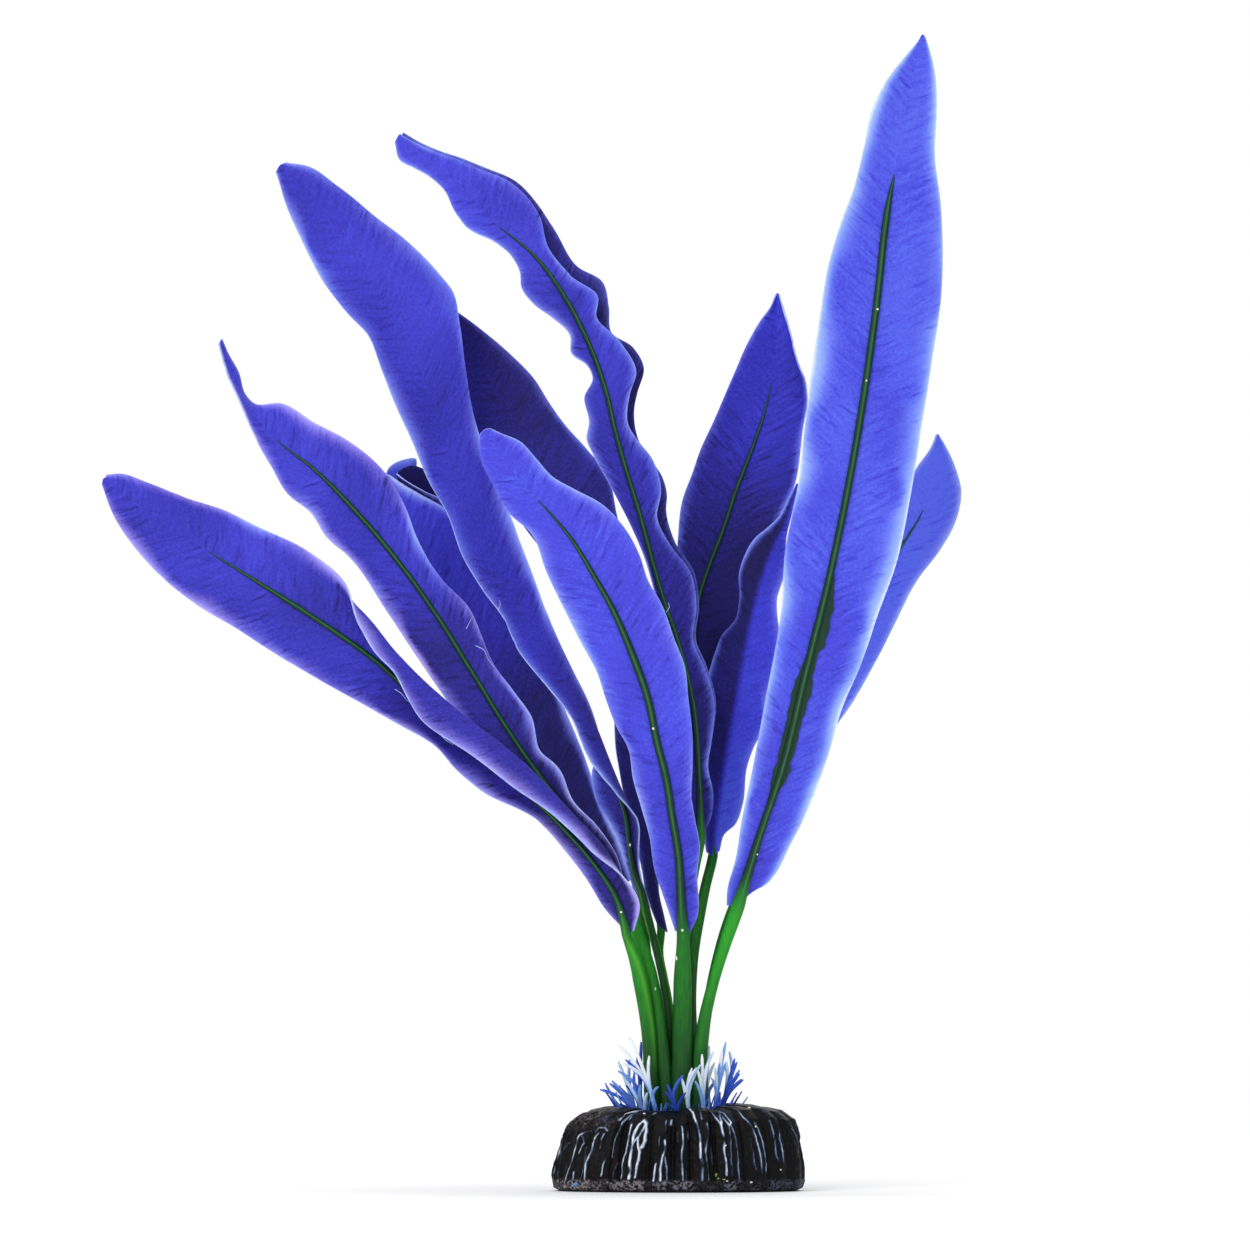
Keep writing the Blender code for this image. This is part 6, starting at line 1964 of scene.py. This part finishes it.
            result += [
                Crest(arch[:dice.choice((4, 6, 6))], width, paint),
                Crest(((right + bend[3], foot), (right, stop)), 0.2, paint * 0.7),
                Crest(((spot + bend[1], foot), (spot, fork), (spot - half * 0.4, fork + 4)), 0.2,
                      paint * 0.8),
                Crest(((spot, fork), (spot + half * 0.5, fork + 3.4)), 0.18, paint * 0.6)]
        return result

    @staticmethod
    def crest_field(place: np.ndarray, z: np.ndarray, crests: list[Crest]) -> np.ndarray:
        """Work out how strongly the crests show on a grid of points.

        Args:
            place: the points' distances round the rock.
            z: their heights.
            crests: the crests.

        Returns:
            0 off the crests, and up to 1 on them.
        """
        result = np.zeros(z.shape)
        for crest in crests:
            line = np.array(crest.line)
            for start, end in zip(line, line[1:]):
                way = end - start
                low, high = sorted((start[0], end[0]))
                near = np.flatnonzero((place.min(0) > low - 1.5) & (place.max(0) < high + 1.5))
                off = np.stack((place[:, near], z[:, near]), -1) - start
                along = np.clip(off @ way / (way @ way), 0, 1)[..., None]
                gap = np.linalg.norm(off - along * way, axis=-1)
                result[:, near] = np.maximum(result[:, near],
                                             crest.paint * np.exp(-(gap / crest.width / 1.2) ** 2))
        return result

    @staticmethod
    def close(mesh: bpy.types.Mesh, foot: float, floor: float) -> bpy.types.Mesh:
        """Close the underside and the pocket's floor with fans.

        Args:
            mesh: the ringed mesh.
            foot: height of the underside.
            floor: height of the pocket's floor.

        Returns:
            The closed mesh.
        """
        around = RockBase.around
        points = [tuple(v.co) for v in mesh.vertices]
        faces = [tuple(p.vertices) for p in mesh.polygons]
        last = len(points) - around
        low, high = len(points), len(points) + 1
        points += [(0.0, 0.0, foot * MM), (0.0, 0.0, floor * MM)]
        faces += [(low, (i + 1) % around, i) for i in range(around)]
        faces += [(high, last + i, last + (i + 1) % around) for i in range(around)]
        bpy.data.meshes.remove(mesh)
        closed = bpy.data.meshes.new("brushed_rock")
        closed.from_pydata(points, [], faces)
        closed.shade_smooth()
        return closed


# Specks


@dataclass(frozen=True)
class Speck:
    """A bead of glue or a fleck of paint, in millimetres.

    spot: where it looks to be from the front, left to right and upwards
    size: its half width and half height
    finish: which of the dabs' finishes it takes
    """

    spot: tuple[float, float]
    size: tuple[float, float]
    finish: int


DABS = (
    PlainFinish("dried_hot_glue", "DDE6DC", "F2F6F0", 1.0, 0.3),
    PlainFinish("sky_blue_paint", "4F86D8", "8FBCEE", 0.8, 0.4),
    PlainFinish("leaf_green_paint", "55722A", "9DAA4E", 0.5, 0.4),
    PlainFinish("cream_paint", "D8C8BC", "F2EADF", 0.5, 0.4),
)
GLUE_BEADS = (
    Speck((-6.5, 120), (0.35, 0.35), 0), Speck((-12.5, 89.8), (0.3, 0.45), 0),
    Speck((-10.4, 83.3), (0.25, 0.3), 0), Speck((-14.8, 72.4), (0.35, 0.3), 0),
    Speck((1.1, 67.7), (0.35, 0.4), 0), Speck((51.6, 228.6), (0.3, 0.3), 0),
    Speck((48.7, 210.1), (0.25, 0.3), 0), Speck((20.6, 87.4), (0.25, 0.3), 0),
    Speck((56.2, 263.5), (0.3, 0.5), 0), Speck((-0.4, 60.4), (0.25, 0.6), 0),
    Speck((-5.9, 52.4), (0.22, 0.45), 0),
)
PAINT_FLECKS = (
    Speck((-26.6, 1.9), (0.7, 0.45), 1), Speck((-27.3, 1.5), (0.35, 0.25), 1),
    Speck((9.8, 4.4), (0.35, 0.55), 2), Speck((10.3, 3.5), (0.4, 0.3), 2),
    Speck((11.8, 3.3), (0.45, 0.16), 2), Speck((12.6, 2.9), (0.3, 0.2), 3),
    Speck((18.9, 2.5), (0.45, 0.25), 3), Speck((26.6, 5.6), (0.25, 0.25), 3),
    Speck((12.3, 12.1), (0.22, 0.25), 3), Speck((20.1, 16.9), (0.25, 0.3), 3),
    Speck((-8.8, 20.2), (0.4, 0.35), 3), Speck((18.4, 21.6), (0.45, 0.3), 3),
)


@dataclass
class Specks:
    """Beads of glue and flecks of paint that sit on the pieces behind them.

    name: the piece's name
    specks: the specks
    plump: how far a speck stands off, as a share of its half width
    rings: rings of faces on a speck
    sides: its faces round
    """

    name: str
    specks: tuple[Speck, ...]
    plump: float = 0.6
    rings: int = 4
    sides: int = 10

    def build(self, carriers: list[bpy.types.Object],
              finishes: tuple[bpy.types.Material, ...]) -> bpy.types.Object:
        """Build the specks on whatever is foremost there.

        Args:
            carriers: the pieces that can carry them.
            finishes: the finishes.

        Returns:
            The specks as one piece.
        """
        shape = bmesh.new()
        for speck in self.specks:
            start = Vector((speck.spot[0], -500.0, speck.spot[1])) * MM
            hits = [carrier.ray_cast(start, Vector((0, 1, 0))) for carrier in carriers]
            hits = [hit for hit in hits if hit[0]]
            if not hits:
                LOG.warning("%s: nothing carries the speck at %s", self.name, speck.spot)
                continue
            _, place, normal, _ = min(hits, key=lambda hit: hit[1].y)
            turn = normal.to_track_quat("Z", "Y").to_matrix().to_4x4()
            scale = Matrix.Diagonal((*(size * MM for size in speck.size),
                                     self.plump * speck.size[0] * MM, 1.0))
            pose = Matrix.Translation(place) @ turn @ scale
            ball = bmesh.ops.create_uvsphere(shape, u_segments=self.sides, v_segments=self.rings,
                                             radius=1.0, matrix=pose)
            for face in {face for vertex in ball["verts"] for face in vertex.link_faces}:
                face.material_index = speck.finish
                face.smooth = True
        mesh = bpy.data.meshes.new(self.name)
        shape.to_mesh(mesh)
        shape.free()
        return link(self.name, mesh, *finishes)


# Studio

# The lamps: name, place and width in millimetres, and watts
LAMPS = (
    ("key", (-800, -1300, 1000), 900, 14.0), ("fill", (1000, -1200, 400), 900, 2.5),
    ("top", (0, 100, 1400), 1000, 8.0), ("rear", (300, 1300, 800), 900, 4.0),
)


@dataclass
class Studio:
    """White paper floor, soft lights and the camera.

    middle: the point in the middle of the picture
    eye: where the camera stands
    view: height of the picture at the plant
    floor: half the floor's side
    burn: how bright the floor itself shines at its edges
    aim: where the lamps point
    sensor: width of the camera's sensor
    """

    middle: Point = (-13.8, 0.0, 147.1)
    eye: Point = (-13.8, -4000.0, 100.0)
    view: float = 325.5
    floor: float = 700.0
    burn: float = 0.35
    aim: Point = (0.0, 0.0, 140.0)
    sensor: float = 36.0

    def camera(self) -> None:
        """Set the camera up where the photograph was taken."""
        data = bpy.data.cameras.new("camera")
        away = Vector(self.middle) - Vector(self.eye)
        data.sensor_width = self.sensor
        data.lens = self.sensor * away.length / self.view
        data.clip_end = 50.0
        result = bpy.data.objects.new("camera", data)
        result.location = Vector(self.eye) * MM
        result.rotation_euler = away.to_track_quat("-Z", "Y").to_euler()
        bpy.context.scene.collection.objects.link(result)
        bpy.context.scene.camera = result

    def paper(self) -> None:
        """Lay the floor."""
        half = self.floor
        corners = np.array([[(x, y, -0.15) for x in (-half, half)] for y in (-half, half)])
        finish = PlainFinish("white_backdrop_paper", "FAFAFA", "FCFCFC", 900.0, 0.9).make()
        # The paper burns out to white away from the plant, as in a product photograph
        tree = finish.node_tree
        place = add(tree, "ShaderNodeTexCoord").outputs["Object"]
        away = add(tree, "ShaderNodeVectorMath", {0: place}, operation="LENGTH").outputs["Value"]
        burnt = add(tree, "ShaderNodeMapRange",
                    {"Value": away, "From Min": 0.06, "From Max": 0.35, "To Max": self.burn})
        fill(tree, tree.nodes["Principled BSDF"],
             {"Emission Strength": burnt, "Emission Color": linear("FFFFFF")})
        floor = link("paper_floor", grid_mesh("paper_floor", corners), finish)

    def lights(self) -> None:
        """Hang the lights and set the surroundings, which look white to the camera."""
        scene = bpy.context.scene
        scene.view_settings.view_transform = "Standard"
        world = bpy.data.worlds.new("studio")
        scene.world = world
        world.use_nodes = True
        tree = world.node_tree
        seen = add(tree, "ShaderNodeLightPath").outputs["Is Camera Ray"]
        power = add(tree, "ShaderNodeMapRange", {"Value": seen, "To Min": 0.42, "To Max": 1.0})
        fill(tree, tree.nodes["Background"], {"Color": linear("FFFFFF"), "Strength": power})
        for name, place, size, watts in LAMPS:
            data = bpy.data.lights.new(name, "AREA")
            data.energy = watts
            data.size = size * MM
            lamp = bpy.data.objects.new(name, data)
            lamp.location = Vector(place) * MM
            aim = Vector(self.aim) - Vector(place)
            lamp.rotation_euler = aim.to_track_quat("-Z", "Y").to_euler()
            scene.collection.objects.link(lamp)


# The plant


@dataclass
class Plant:
    """The whole echinodorus.

    studio: where it is photographed
    """

    studio: Studio = field(default_factory=Studio)

    def build(self) -> None:
        """Build every piece in order."""
        self.studio.camera()
        sweep = SweepTree()
        upper = DipDyedPolyester("dip_dyed_polyester").make()
        under = DipDyedPolyester("dip_dyed_polyester_under", deepen=-0.04, bleach=0.05,
                                 veins=0.7).make()
        edge = PlainFinish("hot_cut_polyester_edge", "8FA2F0", "B9C8F8", 3.0, 0.8).make()
        green = MouldedPolyethylene().make()
        carriers = []
        for order, leaf in enumerate(LEAVES):
            blade = ClothBlade(leaf, order)
            piece = put(blade.build(upper, under, edge), Slot.CLOTH, f"blade_{leaf.name}")
            stem = put(MouldedStem(leaf).build(sweep, green), Slot.STEM, f"stem_{leaf.name}")
            carriers.append(stem)
            LOG.info("%s cut %.0f x %.0f mm, %.0f square mm", leaf.name, blade.width, blade.length,
                     blade.area)
        grass = PlasticGrass()
        tinted = TintedPolyethylene().make()
        kinds = (Slot.WHITE_GRASS, Slot.PALE_GRASS, Slot.BLUE_GRASS)
        for index, sprig in enumerate(SPRIGS, start=1):
            put(grass.sprig(index, sprig, sweep, tinted), kinds[index % 3], f"sprig_{index:02d}")
        put(grass.pack(tinted), Slot.BLUE_GRASS)
        put(RibFlash(TALL).build(green), Slot.STEM)
        put(loose_threads(sweep, edge), Slot.CLOTH)
        rock = put(RockBase().build(BrushedResin().make()), Slot.ROCK, "base")
        dabs = tuple(dab.make() for dab in DABS)
        put(Specks("glue_beads", GLUE_BEADS).build(carriers, dabs), Slot.STEM)
        put(Specks("paint_flecks", PAINT_FLECKS).build([rock], dabs), Slot.ROCK)
        self.studio.paper()
        self.studio.lights()


def main() -> None:
    """Build the plant."""
    logging.basicConfig(level=logging.INFO, format="%(message)s")
    Plant().build()


if __name__ == "__main__":
    main()
